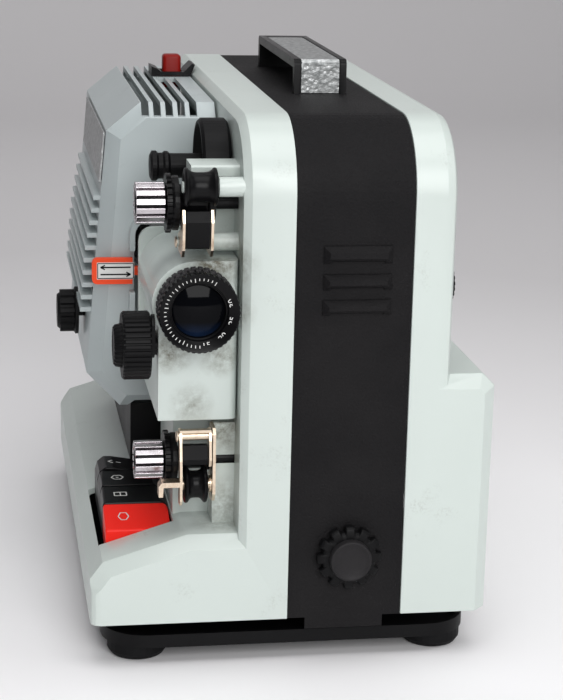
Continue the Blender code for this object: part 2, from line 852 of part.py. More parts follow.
bevel_where(
    handle_frame,
    2.4,
    3,
    lambda a, b: min(a.y, b.y) > HANDLE_TOP - CASE_HEIGHT - 0.1 and abs(a.x - b.x) > 20.0,
)
cut(
    handle_frame,
    block(
        "insert_bed_top",
        (HANDLE_X[0] + HANDLE_RAIL, HANDLE_Y[0] - 1, HANDLE_TOP - 1.5),
        (HANDLE_X[1] - HANDLE_RAIL, HANDLE_Y[1] - 10.0, HANDLE_TOP + 2),
        cutters,
    ),
    block(
        "insert_bed_front",
        (HANDLE_X[0] + HANDLE_RAIL, HANDLE_Y[0] - 2, CASE_HEIGHT - 0.6),
        (HANDLE_X[1] - HANDLE_RAIL, HANDLE_Y[0] + 1.5, HANDLE_TOP + 2),
        cutters,
    ),
)
finish_material(handle_frame, GLOSS_BLACK, 0.3)

handle_insert = plate(
    "handle_insert",
    "yz",
    [
        (HANDLE_Y[0] + 0.2, CASE_HEIGHT - 0.2),
        (HANDLE_Y[0] + 0.2, HANDLE_TOP - 1.6),
        (HANDLE_Y[0] + 1.6, HANDLE_TOP - 0.2),
        (HANDLE_Y[1] - 10.5, HANDLE_TOP - 0.2),
        (HANDLE_Y[1] - 10.5, HANDLE_TOP - 1.1),
        (HANDLE_Y[0] + 1.7, HANDLE_TOP - 1.1),
        (HANDLE_Y[0] + 1.1, HANDLE_TOP - 1.7),
        (HANDLE_Y[0] + 1.1, CASE_HEIGHT - 0.2),
    ],
    (HANDLE_X[0] + HANDLE_RAIL + 0.4, HANDLE_X[1] - HANDLE_RAIL - 0.4),
    origin=(28.0, 172.0, CASE_HEIGHT),
)
finish_material(handle_insert, SILVER, 0.4, 0.6)

# ---------------------------------------------------------------- lens carriage

lens_carriage = plate(
    "lens_carriage",
    "xz",
    [
        (CARRIAGE_X[1], CARRIAGE_Z[0]),
        (CARRIAGE_X[1], CARRIAGE_Z[1]),
        (OPTIC_X, CARRIAGE_Z[1]),
        (OPTIC_X - 6.0, OPTIC_Z + 6.0),
        (CARRIAGE_X[0], OPTIC_Z - 3.0),
        (CARRIAGE_X[0], CARRIAGE_Z[0]),
    ],
    CARRIAGE_Y,
    origin=(OPTIC_X, 50.0, OPTIC_Z),
)
bevel_where(
    lens_carriage,
    CARRIAGE_HINGE_RADIUS,
    5,
    lambda a, b: min(a.x, b.x) > CARRIAGE_X[1] - OPTIC_X - 0.1 and min(a.z, b.z) > 50.0 - CARRIAGE_Y[0] - 0.1,
)
flange = plate(
    "flange",
    "xz",
    rounded_rectangle((-64.2, 98.0), (-26.0, 173.0), 7.0, 4),
    (CARRIAGE_Y[1] - 1.0, CARRIAGE_Y[1] + 2.4),
    cutters,
)
barrel_boss = cylinder(
    "barrel_boss",
    (OPTIC_X, CARRIAGE_Y[0], OPTIC_Z),
    "y",
    CARRIAGE_Y[1] - CARRIAGE_Y[0],
    CARRIAGE_BOSS_RADIUS,
    cutters,
    48,
)
join(lens_carriage, barrel_boss, flange)
cut(
    lens_carriage,
    cylinder(
        "barrel_bore",
        (OPTIC_X, 0.0, OPTIC_Z),
        "y",
        100.0,
        BARREL_RADIUS + BARREL_CLEARANCE,
        cutters,
        48,
    ),
    block("carriage_hollow", (-58.4, 16.0, 99.5), (-27.6, 100.0, 131.0), cutters),
)
finish_material(lens_carriage, PALE_GREEN, 0.3)

lens_barrel = turned(
    "lens_barrel",
    (OPTIC_X, 62.0, OPTIC_Z),
    "-y",
    [
        (GLASS_RADIUS + 0.5, 70.0 - 3.2),
        (15.2, 70.0 - 0.6),
        (LENS_RING_RADIUS - 0.8, 70.0),
        (LENS_RING_RADIUS, 70.0 - 0.8),
        (LENS_RING_RADIUS, 70.0 - 4.6),
        (BARREL_RADIUS, 70.0 - 4.6),
        (BARREL_RADIUS, 0.0),
        (GLASS_RADIUS - 1.5, 0.0),
        (GLASS_RADIUS - 1.5, 70.0 - 9.5),
        (GLASS_RADIUS + 0.5, 70.0 - 9.5),
    ],
    steps=48,
    ring=True,
)
finish_material(lens_barrel, GLOSS_BLACK, 0.3)

front_glass = turned(
    "front_glass",
    (OPTIC_X, 0.9, OPTIC_Z),
    "-y",
    [(0.0, 4.8), (6.0, 4.3), (GLASS_RADIUS, 2.8), (GLASS_RADIUS, 0.0), (0.0, 0.0)],
    steps=40,
)
finish_material(front_glass, (0.02, 0.03, 0.06), 0.05)

zoom_ring = turned(
    "zoom_ring",
    (OPTIC_X, 8.6, OPTIC_Z),
    "-y",
    [
        (BARREL_RADIUS + BARREL_CLEARANCE, 11.6),
        (LENS_RING_RADIUS - 0.6, 11.6),
        (LENS_RING_RADIUS, 10.8),
        (LENS_RING_RADIUS, 6.4),
        (LENS_RING_RADIUS - 0.9, 5.8),
        (LENS_RING_RADIUS, 5.2),
        (LENS_RING_RADIUS, 0.8),
        (LENS_RING_RADIUS - 0.6, 0.0),
        (BARREL_RADIUS + BARREL_CLEARANCE, 0.0),
    ],
    steps=48,
    ring=True,
)
finish_material(zoom_ring, SOFT_BLACK, 0.4)

focus_knob = gear(
    "focus_knob",
    (FOCUS_X[0] + 4.2, *FOCUS_AXIS),
    "x",
    FOCUS_X[1] - FOCUS_X[0] - 4.2,
    14.4,
    FOCUS_RADIUS,
    16,
    projector,
    0.36,
)
join(
    focus_knob,
    turned(
        "focus_core",
        (-61.9, *FOCUS_AXIS),
        "-x",
        [
            (0.0, 20.5),
            (8.0, 20.5),
            (9.4, 19.2),
            (10.2, 16.0),
            (10.2, 4.2),
            (FOCUS_SHAFT_RADIUS, 4.2),
            (FOCUS_SHAFT_RADIUS, 0.0),
            (0.0, 0.0),
        ],
        cutters,
        32,
    ),
)
finish_material(focus_knob, SOFT_BLACK, 0.4)

bracket_outline = arc(8.0, 142.8, 5.6, 15, 165, 8) + arc(FOCUS_AXIS[0], FOCUS_AXIS[1], 6.0, 180, 360, 10)
focus_bracket = plate("focus_bracket", "yz", bracket_outline, (-65.2, -63.7), origin=(-63.5, *FOCUS_AXIS))
join(focus_bracket, block("bracket_foot", (-64.6, 12.6, 128.0), (-61.8, 24.0, 137.4), cutters))
cut(
    focus_bracket,
    cylinder("bracket_bore", (-68, *FOCUS_AXIS), "x", 9, FOCUS_SHAFT_RADIUS + GAP, cutters, 20),
)
finish_material(focus_bracket, GLOSS_BLACK, 0.3)

pressure_plate = plate(
    "pressure_plate",
    "xz",
    rounded_rectangle((-51.5, 112.0), (-38.0, 190.0 - 24.0), 2.0, 3),
    (91.0, 92.4),
    origin=(OPTIC_X, 91.7, OPTIC_Z),
    holes=(arc(OPTIC_X, OPTIC_Z, 4.4, 0, 345, 23),),
)
finish_material(pressure_plate, STEEL, 0.25, 1.0)

gate_plate = plate(
    "gate_plate",
    "xz",
    rounded_rectangle((-60.0, 101.0), (-26.0, 173.0), 4.0, 3),
    (93.6, 95.0),
    origin=(OPTIC_X, 94.3, OPTIC_Z),
    holes=(rounded_rectangle((OPTIC_X - 2.6, OPTIC_Z - 2.0), (OPTIC_X + 2.6, OPTIC_Z + 2.0), 0.5, 2),),
)
finish_material(gate_plate, STEEL, 0.3, 1.0)

format_lever = block("format_lever", (-86.6, 95.6, 142.6), (-66.4, 98.8, 155.8))
bevel_where(format_lever, 2.6, 4, lambda a, b: abs(a.y - b.y) > 0.5 and max(a.x, b.x) < 0.0)
join(format_lever, block("lever_tail", (-70.0, 96.2, 147.0), (-60.4, 98.6, 151.4), cutters))
finish_material(format_lever, ORANGE_RED, 0.35)

# ---------------------------------------------------------------- sprockets


def sprocket(name, knob_name, z, knob_radius, body):
    """A film sprocket with its shaft, and the fluted knob on the shaft's end that inches the film."""
    wheel = gear(
        name,
        (-57.6, SPROCKET_Y, z),
        "x",
        2.2,
        SPROCKET_TIP_RADIUS - 1.1,
        SPROCKET_TIP_RADIUS,
        SPROCKET_TEETH,
        projector,
        0.3,
    )
    join(
        wheel,
        turned(
            name + "_core",
            (-16.0, SPROCKET_Y, z),
            "-x",
            [
                (0.0, 41.0),
                (9.0, 41.0),
                (12.0, 39.6),
                (12.6, 38.0),
                (12.6, 35.9),
                (body + 1.4, 35.4),
                (body, 31.0),
                (body, 22.6),
                (body + 0.8, 22.0),
                (body + 0.8, 19.0),
                (SHAFT_RADIUS, 19.0),
                (SHAFT_RADIUS, 0.0),
                (0.0, 0.0),
            ],
            cutters,
            32,
        ),
    )
    finish_material(wheel, GLOSS_BLACK, 0.35)
    knob = gear(
        knob_name,
        (INCHING_KNOB_X[0], SPROCKET_Y, z),
        "x",
        INCHING_KNOB_X[1] - INCHING_KNOB_X[0],
        knob_radius - 1.0,
        knob_radius,
        16,
        projector,
        0.36,
    )
    bevel(knob, 0.4, 1, 60.0)
    finish_material(knob, CHROME, 0.12, 1.0)


sprocket("upper_sprocket", "upper_inching_knob", UPPER_SPROCKET_Z, UPPER_KNOB_RADIUS, 7.4)
sprocket("lower_sprocket", "lower_inching_knob", LOWER_SPROCKET_Z, LOWER_KNOB_RADIUS, 4.9)


BRACKET_OUTLINE = [
    (4.6, 91.0),
    (4.6, 62.0),
    (7.6, 58.0),
    (17.4, 56.0),
    (20.6, 58.0),
    (20.6, 68.4),
    (17.2, 69.4),
    (17.2, 78.4),
    (20.6, 79.4),
    (20.6, 91.0),
    (18.0, 93.6),
    (7.2, 93.6),
]
lower_bracket = plate(
    "lower_bracket",
    "yz",
    BRACKET_OUTLINE,
    BRACKET_X,
    origin=(BRACKET_X[0], *LOWER_ROLLER),
)
join(
    lower_bracket,
    pin(
        "lower_roller_post",
        *LOWER_ROLLER,
        [(-50.6, BRACKET_X[0] - 0.9, ROLLER_PIN_RADIUS), (BRACKET_X[0] - 0.9, -35.6, 4.0)],
    ),
    pin("lower_guide_post", *LOWER_PIVOT, [(-52.4, -35.6, GUIDE_PIN_RADIUS)]),
)
finish_material(lower_bracket, GUIDE_GOLD, 0.3, 1.0)


def roller(name, axis, left, right):
    """A flanged film roller turning on a post."""
    width = right - left
    bore = ROLLER_PIN_RADIUS + GAP
    obj = turned(
        name,
        (right, *axis),
        "-x",
        [
            (bore, width),
            (ROLLER_FLANGE_RADIUS - 1.0, width),
            (ROLLER_FLANGE_RADIUS, width - 0.9),
            (ROLLER_FLANGE_RADIUS, width - 1.8),
            (ROLLER_WAIST_RADIUS, width - 3.0),
            (ROLLER_WAIST_RADIUS, 3.0),
            (ROLLER_FLANGE_RADIUS, 1.8),
            (ROLLER_FLANGE_RADIUS, 0.9),
            (ROLLER_FLANGE_RADIUS - 1.0, 0.0),
            (bore, 0.0),
        ],
        steps=32,
        ring=True,
    )
    finish_material(obj, GLOSS_BLACK, 0.3)


roller("upper_roller", UPPER_ROLLER, -50.9, -35.8)
roller("lower_roller", LOWER_ROLLER, -49.4, -38.4)


def guide(name, shoe_name, pivot, sides, outline, shoe_outline, bridge, near_outline=None, tab=()):
    """A sprung film guide: two metal side plates joined by a bridge, on a post, with a black shoe between."""
    bore = arc(pivot[0], pivot[1], GUIDE_PIN_RADIUS + GAP, 0, 345, 23)
    near, far = sides
    frame = plate(
        name, "yz", near_outline or outline, (near, near + GUIDE_SHEET), origin=(-44.0, *pivot), holes=(bore,)
    )
    bridge_low, bridge_high = bridge
    join(
        frame,
        plate(
            name + "_far",
            "yz",
            outline,
            (far - GUIDE_SHEET, far),
            cutters,
            origin=(-44.0, *pivot),
            holes=(bore,),
        ),
        block(name + "_bridge", (near + 0.2, *bridge_low), (far - 0.2, *bridge_high), cutters),
        *tab,
    )
    finish_material(frame, GUIDE_GOLD, 0.28, 1.0)
    shoe_span = (near + GUIDE_SHEET + 0.5, far - GUIDE_SHEET - 0.5)
    shoe = plate(shoe_name, "yz", shoe_outline, shoe_span, origin=(-44.0, *pivot))
    finish_material(shoe, SOFT_BLACK, 0.4)


guide(
    "upper_guide",
    "upper_shoe",
    UPPER_PIVOT,
    (-51.4, -37.2),
    [
        (26.0, 176.4),
        (25.6, 182.2),
        (22.0, 183.4),
        (15.0, 186.0),
        (11.6, 195.4),
        (6.6, 196.6),
        (4.4, 191.0),
        (6.0, 178.0),
        (9.0, 174.6),
        (22.0, 174.8),
    ],
    [(13.0, 178.4), (13.8, 186.0), (11.2, 195.0), (6.9, 195.8), (5.2, 191.0), (6.6, 179.2), (8.6, 178.2)],
    ((24.7, 177.2), (25.6, 181.4)),
)
guide(
    "lower_guide",
    "lower_shoe",
    LOWER_PIVOT,
    (-52.0, -37.0),
    [
        (12.6, 88.0),
        (12.0, 92.6),
        (9.0, 93.4),
        (5.6, 92.0),
        (4.6, 88.0),
        (3.4, 79.0),
        (5.0, 75.6),
        (9.6, 75.4),
        (9.4, 80.0),
    ],
    [(8.6, 76.2), (9.2, 80.0), (9.6, 85.6), (6.4, 85.6), (4.6, 79.2), (5.8, 76.3)],
    (
        (5.4, LOWER_PIVOT[1] + GUIDE_PIN_RADIUS + GAP),
        (8.6, LOWER_PIVOT[1] + GUIDE_PIN_RADIUS + 1.7),
    ),
    [
        (12.6, 88.0),
        (12.0, 92.6),
        (9.0, 93.4),
        (5.6, 92.0),
        (4.6, 88.0),
        (2.8, 79.0),
        (1.6, 70.0),
        (1.6, 60.0),
        (3.2, 57.6),
        (8.0, 57.6),
        (8.8, 60.0),
        (8.8, 70.0),
        (9.6, 75.4),
        (9.4, 80.0),
    ],
    (
        plate(
            "finger_tab",
            "xz",
            [
                (-61.8, 67.4),
                (-60.4, 69.2),
                (-51.2, 69.2),
                (-51.2, 66.8),
                (-59.6, 66.8),
                (-59.8, 62.2),
                (-61.8, 62.2),
            ],
            (1.8, 8.6),
            cutters,
        ),
    ),
)

# ---------------------------------------------------------------- reel drive

drum_width = DRUM_X[1] - DRUM_X[0]
reel_drum = turned(
    "reel_drum",
    (DRUM_X[1], *REEL_AXIS),
    "-x",
    [
        (0.0, drum_width - 6.0),
        (DRUM_RADIUS - 4.4, drum_width - 6.0),
        (DRUM_RADIUS - 2.6, drum_width),
        (DRUM_RADIUS - 1.4, drum_width),
        (DRUM_RADIUS, drum_width - 1.4),
        (DRUM_RADIUS, 1.4),
        (DRUM_RADIUS - 1.4, 0.0),
        (SHAFT_RADIUS, 0.0),
        (SHAFT_RADIUS, -9.0),
        (0.0, -9.0),
    ],
    steps=56,
)
finish_material(reel_drum, SOFT_BLACK, 0.55)

spindle_length = DRUM_X[0] + 5.6 - SPINDLE_END_X
reel_spindle = turned(
    "reel_spindle",
    (DRUM_X[0] + 5.6, *REEL_AXIS),
    "-x",
    [
        (0.0, spindle_length),
        (5.4, spindle_length),
        (7.2, spindle_length - 1.0),
        (7.2, spindle_length - 3.0),
        (6.2, spindle_length - 4.0),
        (6.2, spindle_length - 6.0),
        (7.0, spindle_length - 7.0),
        (7.0, spindle_length - 8.4),
        (5.9, spindle_length - 9.6),
        (5.9, 0.0),
        (0.0, 0.0),
    ],
    steps=32,
)
finish_material(reel_spindle, SOFT_BLACK, 0.4)

# ---------------------------------------------------------------- lamphouse


def lamp_wall_x(z):
    """Outer x of the lamphouse's slanted left wall at a height."""
    (x1, z1), (x2, z2), (x3, z3) = LAMP_SECTION[3:6]
    if z > z2:
        return x2 + (x1 - x2) * (z - z2) / (z1 - z2)
    return x3 + (x2 - x3) * (z - z3) / (z2 - z3)


lamphouse_cover = plate(
    "lamphouse_cover", "xz", LAMP_SECTION, (LAMP_FRONT_Y, LAMP_BACK_Y), origin=(OPTIC_X, 180.0, OPTIC_Z)
)
bevel_where(
    lamphouse_cover,
    LAMP_CHAMFER,
    1,
    lambda a, b: (
        (min(a.z, b.z) > LAMP_TOP_Z - OPTIC_Z - 0.1 or max(a.z, b.z) < -91.9)
        and min(a.x, b.x) < LAMP_RIGHT_X - OPTIC_X - 0.1
    ),
)
for index in range(FIN_COUNT):
    z = FIN_TOP_Z - FIN_PITCH * index
    x = lamp_wall_x(z)
    reach = min(FIN_REACH, FIN_LEAST_REACH + FIN_GROWTH * index)
    join(
        lamphouse_cover,
        block(
            f"fin_{index}",
            (x - reach, FIN_Y[0], z - FIN_THICKNESS / 2),
            (x + 1.5, FIN_Y[1], z + FIN_THICKNESS / 2),
            cutters,
        ),
    )
lamp_cavity = plate(
    "lamp_cavity",
    "xz",
    [
        (LAMP_RIGHT_X + 2.0, 70.0),
        (LAMP_RIGHT_X + 2.0, LAMP_TOP_Z - WALL),
        (-61.2, LAMP_TOP_Z - WALL),
        (-76.0, LAMP_TOP_Z - LAMP_SHOULDER - 1.0),
        (-81.6, 152.8),
        (-86.0, 95.0),
        (-70.9, 79.0),
        (-70.9, 70.0),
    ],
    (LAMP_FRONT_Y + WALL + 1.2, LAMP_BACK_Y - WALL - 1.2),
    cutters,
)
bevel_where(lamp_cavity, LAMP_CHAMFER, 1, lambda a, b: abs(a.z - b.z) < 0.01)
cut(lamphouse_cover, lamp_cavity)
for index, (x, end) in enumerate(zip(TOP_SLOT_X, TOP_SLOT_ENDS)):
    cut(
        lamphouse_cover,
        block(
            f"top_slot_{index}",
            (x - TOP_SLOT_WIDTH / 2, LAMP_FRONT_Y - 1.0, LAMP_TOP_Z - TOP_SLOT_DEPTH),
            (x + TOP_SLOT_WIDTH / 2, end, LAMP_TOP_Z + 4.0),
            cutters,
        ),
    )
cut(
    lamphouse_cover,
    cylinder("light_port", (OPTIC_X, LAMP_FRONT_Y - 4, OPTIC_Z), "y", 14, 12.0, cutters, 24),
    block("button_hole", (-41.0, 215.6, LAMP_TOP_Z - 10.0), (-28.8, 227.4, LAMP_TOP_Z + 8.0), cutters),
    cylinder("side_knob_hole", (-96, *SIDE_KNOB_AXIS), "x", 16, SHAFT_RADIUS + GAP, cutters, 16),
    plate(
        "lamp_opening",
        "xz",
        rounded_rectangle(*LAMP_OPENING, LAMP_OPENING_CORNER, 5),
        (LAMP_FRONT_Y - 4, LAMP_FRONT_Y + 6),
        cutters,
    ),
    cylinder(
        "side_knob_room",
        (SIDE_KNOB_FRONT_X, *SIDE_KNOB_AXIS),
        "x",
        10.8,
        SIDE_KNOB_RADIUS + 0.8,
        cutters,
        32,
    ),
    block("front_notch", (-30.0, 90.0, 70.0), (-20.0, 106.0, 200.0), cutters),
)
lip = plate(
    "lip",
    "xz",
    rounded_rectangle(
        (LAMP_OPENING[0][0] - LIP_OVERLAP, LAMP_OPENING[0][1] - LIP_OVERLAP),
        (LAMP_OPENING[1][0] + LIP_OVERLAP, LAMP_OPENING[1][1] + LIP_OVERLAP),
        LAMP_OPENING_CORNER + LIP_OVERLAP,
        5,
    ),
    (LAMP_LIP_Y, LAMP_FRONT_Y + 3.0),
    cutters,
)
lip_way = plate(
    "lip_way",
    "xz",
    rounded_rectangle(
        (LAMP_OPENING[0][0] + LAMP_LIP, LAMP_OPENING[0][1] + LAMP_LIP),
        (LAMP_OPENING[1][0] + 20.0, LAMP_OPENING[1][1] - LAMP_LIP),
        LAMP_OPENING_CORNER - LAMP_LIP,
        5,
    ),
    (LAMP_LIP_Y - 3.0, LAMP_FRONT_Y + 6.0),
    cutters,
)
lip_trim = block("lip_trim", (-48.0, 80.0, 90.0), (-20.0, LAMP_FRONT_Y + 0.4, 190.0), cutters)
lip_gap = block("lip_gap", (-70.0, 80.0, 138.6), (-60.0, LAMP_FRONT_Y - 0.3, 159.8), cutters)
join(lamphouse_cover, lip)
cut(lamphouse_cover, lip_way, lip_trim, lip_gap)
finish_material(lamphouse_cover, PALE_GREEN, 0.3)

plate_low, plate_high = 192.0, 216.6
name_plate = plate(
    "name_plate",
    "xz",
    [
        (lamp_wall_x(plate_low) - 0.4, plate_low),
        (lamp_wall_x(plate_high) - 0.4, plate_high),
        (lamp_wall_x(plate_high) - 1.2, plate_high),
        (lamp_wall_x(plate_low) - 1.2, plate_low),
    ],
    (FIN_Y[0] + 1.0, FIN_Y[1]),
    origin=(lamp_wall_x(205.0), 178.0, 205.0),
)
finish_material(name_plate, SILVER, 0.35, 0.8)

side_knob = gear("side_knob", (SIDE_KNOB_FRONT_X, *SIDE_KNOB_AXIS), "x", 7.6, 10.0, 11.2, 14, projector, 0.34)
join(
    side_knob,
    turned(
        "side_knob_core",
        (-84.0, *SIDE_KNOB_AXIS),
        "-x",
        [
            (0.0, 17.7),
            (8.6, 17.7),
            (9.6, 16.4),
            (10.2, 9.4),
            (SIDE_KNOB_RADIUS, 8.4),
            (SIDE_KNOB_RADIUS, 6.8),
            (SHAFT_RADIUS, 6.8),
            (SHAFT_RADIUS, 0.0),
            (0.0, 0.0),
        ],
        cutters,
        32,
    ),
)
finish_material(side_knob, SOFT_BLACK, 0.45)

release_button = block(
    "release_button", (-39.9, 216.8, LAMP_TOP_Z - 6.0), (-29.9, 226.2, LAMP_TOP_Z + 11.6)
)
bevel_where(release_button, 1.8, 3, lambda a, b: max(a.z, b.z) > 5.0)
finish_material(release_button, SIGNAL_RED, 0.35)

button_bezel = plate(
    "button_bezel",
    "xz",
    [
        (-46.6, LAMP_TOP_Z + 0.5),
        (-25.2, LAMP_TOP_Z + 0.5),
        (-22.6, LAMP_TOP_Z + 6.6),
        (-24.2, LAMP_TOP_Z + 7.2),
        (-27.0, LAMP_TOP_Z + 4.4),
        (-28.6, LAMP_TOP_Z + 2.6),
        (-41.2, LAMP_TOP_Z + 2.6),
        (-43.0, LAMP_TOP_Z + 4.2),
        (-46.6, LAMP_TOP_Z + 5.6),
    ],
    (213.0, 231.0),
    origin=(-35.0, 222.0, LAMP_TOP_Z),
)
cut(
    button_bezel,
    block("bezel_hole", (-40.6, 216.0, LAMP_TOP_Z - 4.0), (-29.2, 227.0, LAMP_TOP_Z + 9.0), cutters),
)
finish_material(button_bezel, GLOSS_BLACK, 0.35)

air_duct = block("air_duct", (-66.0, 112.2, 44.6), (-26.0, 232.0, 75.6))
join(air_duct, block("duct_mouth", (-50.0, 99.4, 44.6), (-26.0, 114.0, 75.6), cutters))
cut(air_duct, block("duct_way", (-64.0, 130.0, 47.0), (-20.0, 229.6, 90.0), cutters))
finish_material(air_duct, SOFT_BLACK, 0.6)

lamp = turned(
    "lamp",
    (OPTIC_X, 150.0, OPTIC_Z - 34.0),
    "z",
    [
        (0.0, 42.0),
        (3.4, 41.2),
        (6.2, 38.2),
        (7.0, 34.0),
        (6.6, 28.0),
        (4.8, 22.0),
        (4.8, 18.0),
        (8.2, 18.0),
        (8.2, 0.0),
        (0.0, 0.0),
    ],
    steps=28,
)
finish_material(lamp, (0.85, 0.86, 0.84), 0.1)

reflector = turned(
    "reflector",
    (OPTIC_X, 166.5, OPTIC_Z),
    "-y",
    [
        (0.0, -4.8),
        (7.4, -3.2),
        (13.8, 1.0),
        (17.6, 6.0),
        (19.4, 6.0),
        (15.0, 0.0),
        (8.0, -4.6),
        (0.0, -6.2),
    ],
    steps=32,
)
finish_material(reflector, CHROME, 0.08, 1.0)

condenser_lens = turned(
    "condenser_lens",
    (OPTIC_X, 124.0, OPTIC_Z),
    "-y",
    [(0.0, 8.0), (6.0, 7.3), (11.6, 4.8), (11.6, 3.2), (6.0, 0.7), (0.0, 0.0)],
    steps=28,
)
finish_material(condenser_lens, (0.75, 0.82, 0.84), 0.03)

# ---------------------------------------------------------------- drive

motor = turned(
    "motor",
    (46.0, 200.0, 90.0),
    "-x",
    [
        (SHAFT_RADIUS + BEARING_CLEARANCE, 46.0),
        (10.0, 46.0),
        (10.0, 43.0),
        (30.0, 41.0),
        (31.0, 36.0),
        (31.0, 8.0),
        (30.0, 3.0),
        (10.0, 0.0),
        (SHAFT_RADIUS + BEARING_CLEARANCE, 0.0),
    ],
    steps=36,
    ring=True,
)
finish_material(motor, STEEL, 0.45, 0.8)

motor_rotor = turned(
    "motor_rotor",
    (60.0, 200.0, 90.0),
    "-x",
    [
        (0.0, 78.0),
        (9.0, 78.0),
        (9.0, 66.0),
        (SHAFT_RADIUS, 66.0),
        (SHAFT_RADIUS, 12.0),
        (9.0, 12.0),
        (7.6, 8.0),
        (9.0, 4.0),
        (9.0, 2.0),
        (SHAFT_RADIUS, 2.0),
        (SHAFT_RADIUS, 0.0),
        (0.0, 0.0),
    ],
    steps=32,
)
blade_count = 8
for index in range(blade_count):
    blade = block(
        f"blade_{index}", (-17.6, 207.0, 89.2), (-6.4, 230.0, 90.8), cutters, origin=(-12.0, 200.0, 90.0)
    )
    blade.rotation_euler = (2 * math.pi * index / blade_count, 0.0, 0.0)
    join(motor_rotor, blade)
finish_material(motor_rotor, (0.5, 0.5, 0.5), 0.4, 0.5)

shutter = gear("shutter", (-6.0, 96.8, OPTIC_Z), "y", 1.2, 22.0, 43.0, 3, projector, 0.34)
join(shutter, cylinder("shutter_shaft", (-6.0, 96.8, OPTIC_Z), "y", 60.0, SHAFT_RADIUS, cutters, 20))
finish_material(shutter, SOFT_BLACK, 0.5)

transformer = block("transformer", (4.0, 42.0, 6.0), (52.0, 106.0, 62.0))
bevel_where(transformer, 2.0, 1, lambda a, b: abs(a.x - b.x) > 5.0)
join(
    transformer,
    block("coil_front", (12.0, 34.0, 18.0), (44.0, 44.0, 50.0), cutters),
    block("coil_rear", (12.0, 104.0, 18.0), (44.0, 114.0, 50.0), cutters),
)
finish_material(transformer, (0.30, 0.22, 0.16), 0.5)

speed_dial = gear(
    "speed_dial", (RIGHT_WALL_X + GAP, *DIAL_AXIS), "x", 6.0, 7.7, DIAL_RADIUS, 18, projector, 0.34
)
join(
    speed_dial,
    cylinder("dial_shaft", (RIGHT_WALL_X - 8.0, *DIAL_AXIS), "x", 10.0, SHAFT_RADIUS, cutters, 20),
)
finish_material(speed_dial, SOFT_BLACK, 0.45)

# ---------------------------------------------------------------- keys

KEY_NAMES = ("key_lamp", "key_run", "key_reel", "key_reverse")
for index, name in enumerate(KEY_NAMES):
    front = KEY_FRONT_Y + index * KEY_PITCH
    key = plate(
        name,
        "xz",
        KEY_SECTION,
        (front, front + KEY_WIDTH),
        origin=(KEY_PIVOT[0], front, KEY_PIVOT[1]),
    )
    if KEY_TOPS[index]:
        low, high = KEY_TOPS[index]
        rise = high - low
        cut(
            key,
            plate(
                name + "_top",
                "yz",
                [
                    (front - KEY_WIDTH, low - rise),
                    (front + 2 * KEY_WIDTH, high + rise),
                    (front + 2 * KEY_WIDTH, KEY_CUTTER_TOP),
                    (front - KEY_WIDTH, KEY_CUTTER_TOP),
                ],
                (APRON_X, BAY_X),
                cutters,
            ),
        )
    bevel(key, 0.8, 2, 40.0)
    finish_material(key, SIGNAL_RED if index == 0 else GLOSS_BLACK, 0.3)
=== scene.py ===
import json
import math

import bmesh
import bpy
from mathutils import Matrix, Vector

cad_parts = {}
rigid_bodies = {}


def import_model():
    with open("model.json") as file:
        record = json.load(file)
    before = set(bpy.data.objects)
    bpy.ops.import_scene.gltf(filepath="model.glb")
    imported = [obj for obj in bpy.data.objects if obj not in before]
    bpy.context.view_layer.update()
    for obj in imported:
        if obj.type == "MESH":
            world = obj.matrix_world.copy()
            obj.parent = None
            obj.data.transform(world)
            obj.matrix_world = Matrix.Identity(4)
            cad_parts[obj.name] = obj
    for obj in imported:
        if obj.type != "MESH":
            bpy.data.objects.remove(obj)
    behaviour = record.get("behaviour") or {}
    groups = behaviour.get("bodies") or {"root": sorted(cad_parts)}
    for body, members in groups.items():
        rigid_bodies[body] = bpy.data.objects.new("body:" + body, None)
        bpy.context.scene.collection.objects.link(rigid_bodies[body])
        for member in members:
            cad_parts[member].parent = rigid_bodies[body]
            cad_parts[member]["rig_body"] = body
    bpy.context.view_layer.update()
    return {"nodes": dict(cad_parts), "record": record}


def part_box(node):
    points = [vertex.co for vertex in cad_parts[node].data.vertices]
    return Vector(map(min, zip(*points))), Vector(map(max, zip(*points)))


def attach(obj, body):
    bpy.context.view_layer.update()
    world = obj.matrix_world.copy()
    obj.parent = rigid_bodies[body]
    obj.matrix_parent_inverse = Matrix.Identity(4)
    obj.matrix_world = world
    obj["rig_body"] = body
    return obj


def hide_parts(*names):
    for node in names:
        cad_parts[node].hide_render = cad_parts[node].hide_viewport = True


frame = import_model()
nodes = frame["nodes"]

# The drawing's millimetres start at the band's lower left front corner.
# Every place comes from the boxes of the CAD's pieces.
casingLow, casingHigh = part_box("left_casing")
drawingOrigin = Vector((casingHigh.x + 0.0004, casingLow.y, casingLow.z))


def at(x, y, z):  # drawing millimetres to world metres
    return drawingOrigin + Vector((x, y, z)) * 0.001


def spanOf(node):  # a CAD node's box in drawing millimetres
    low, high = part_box(node)
    return (low - drawingOrigin) * 1000, (high - drawingOrigin) * 1000


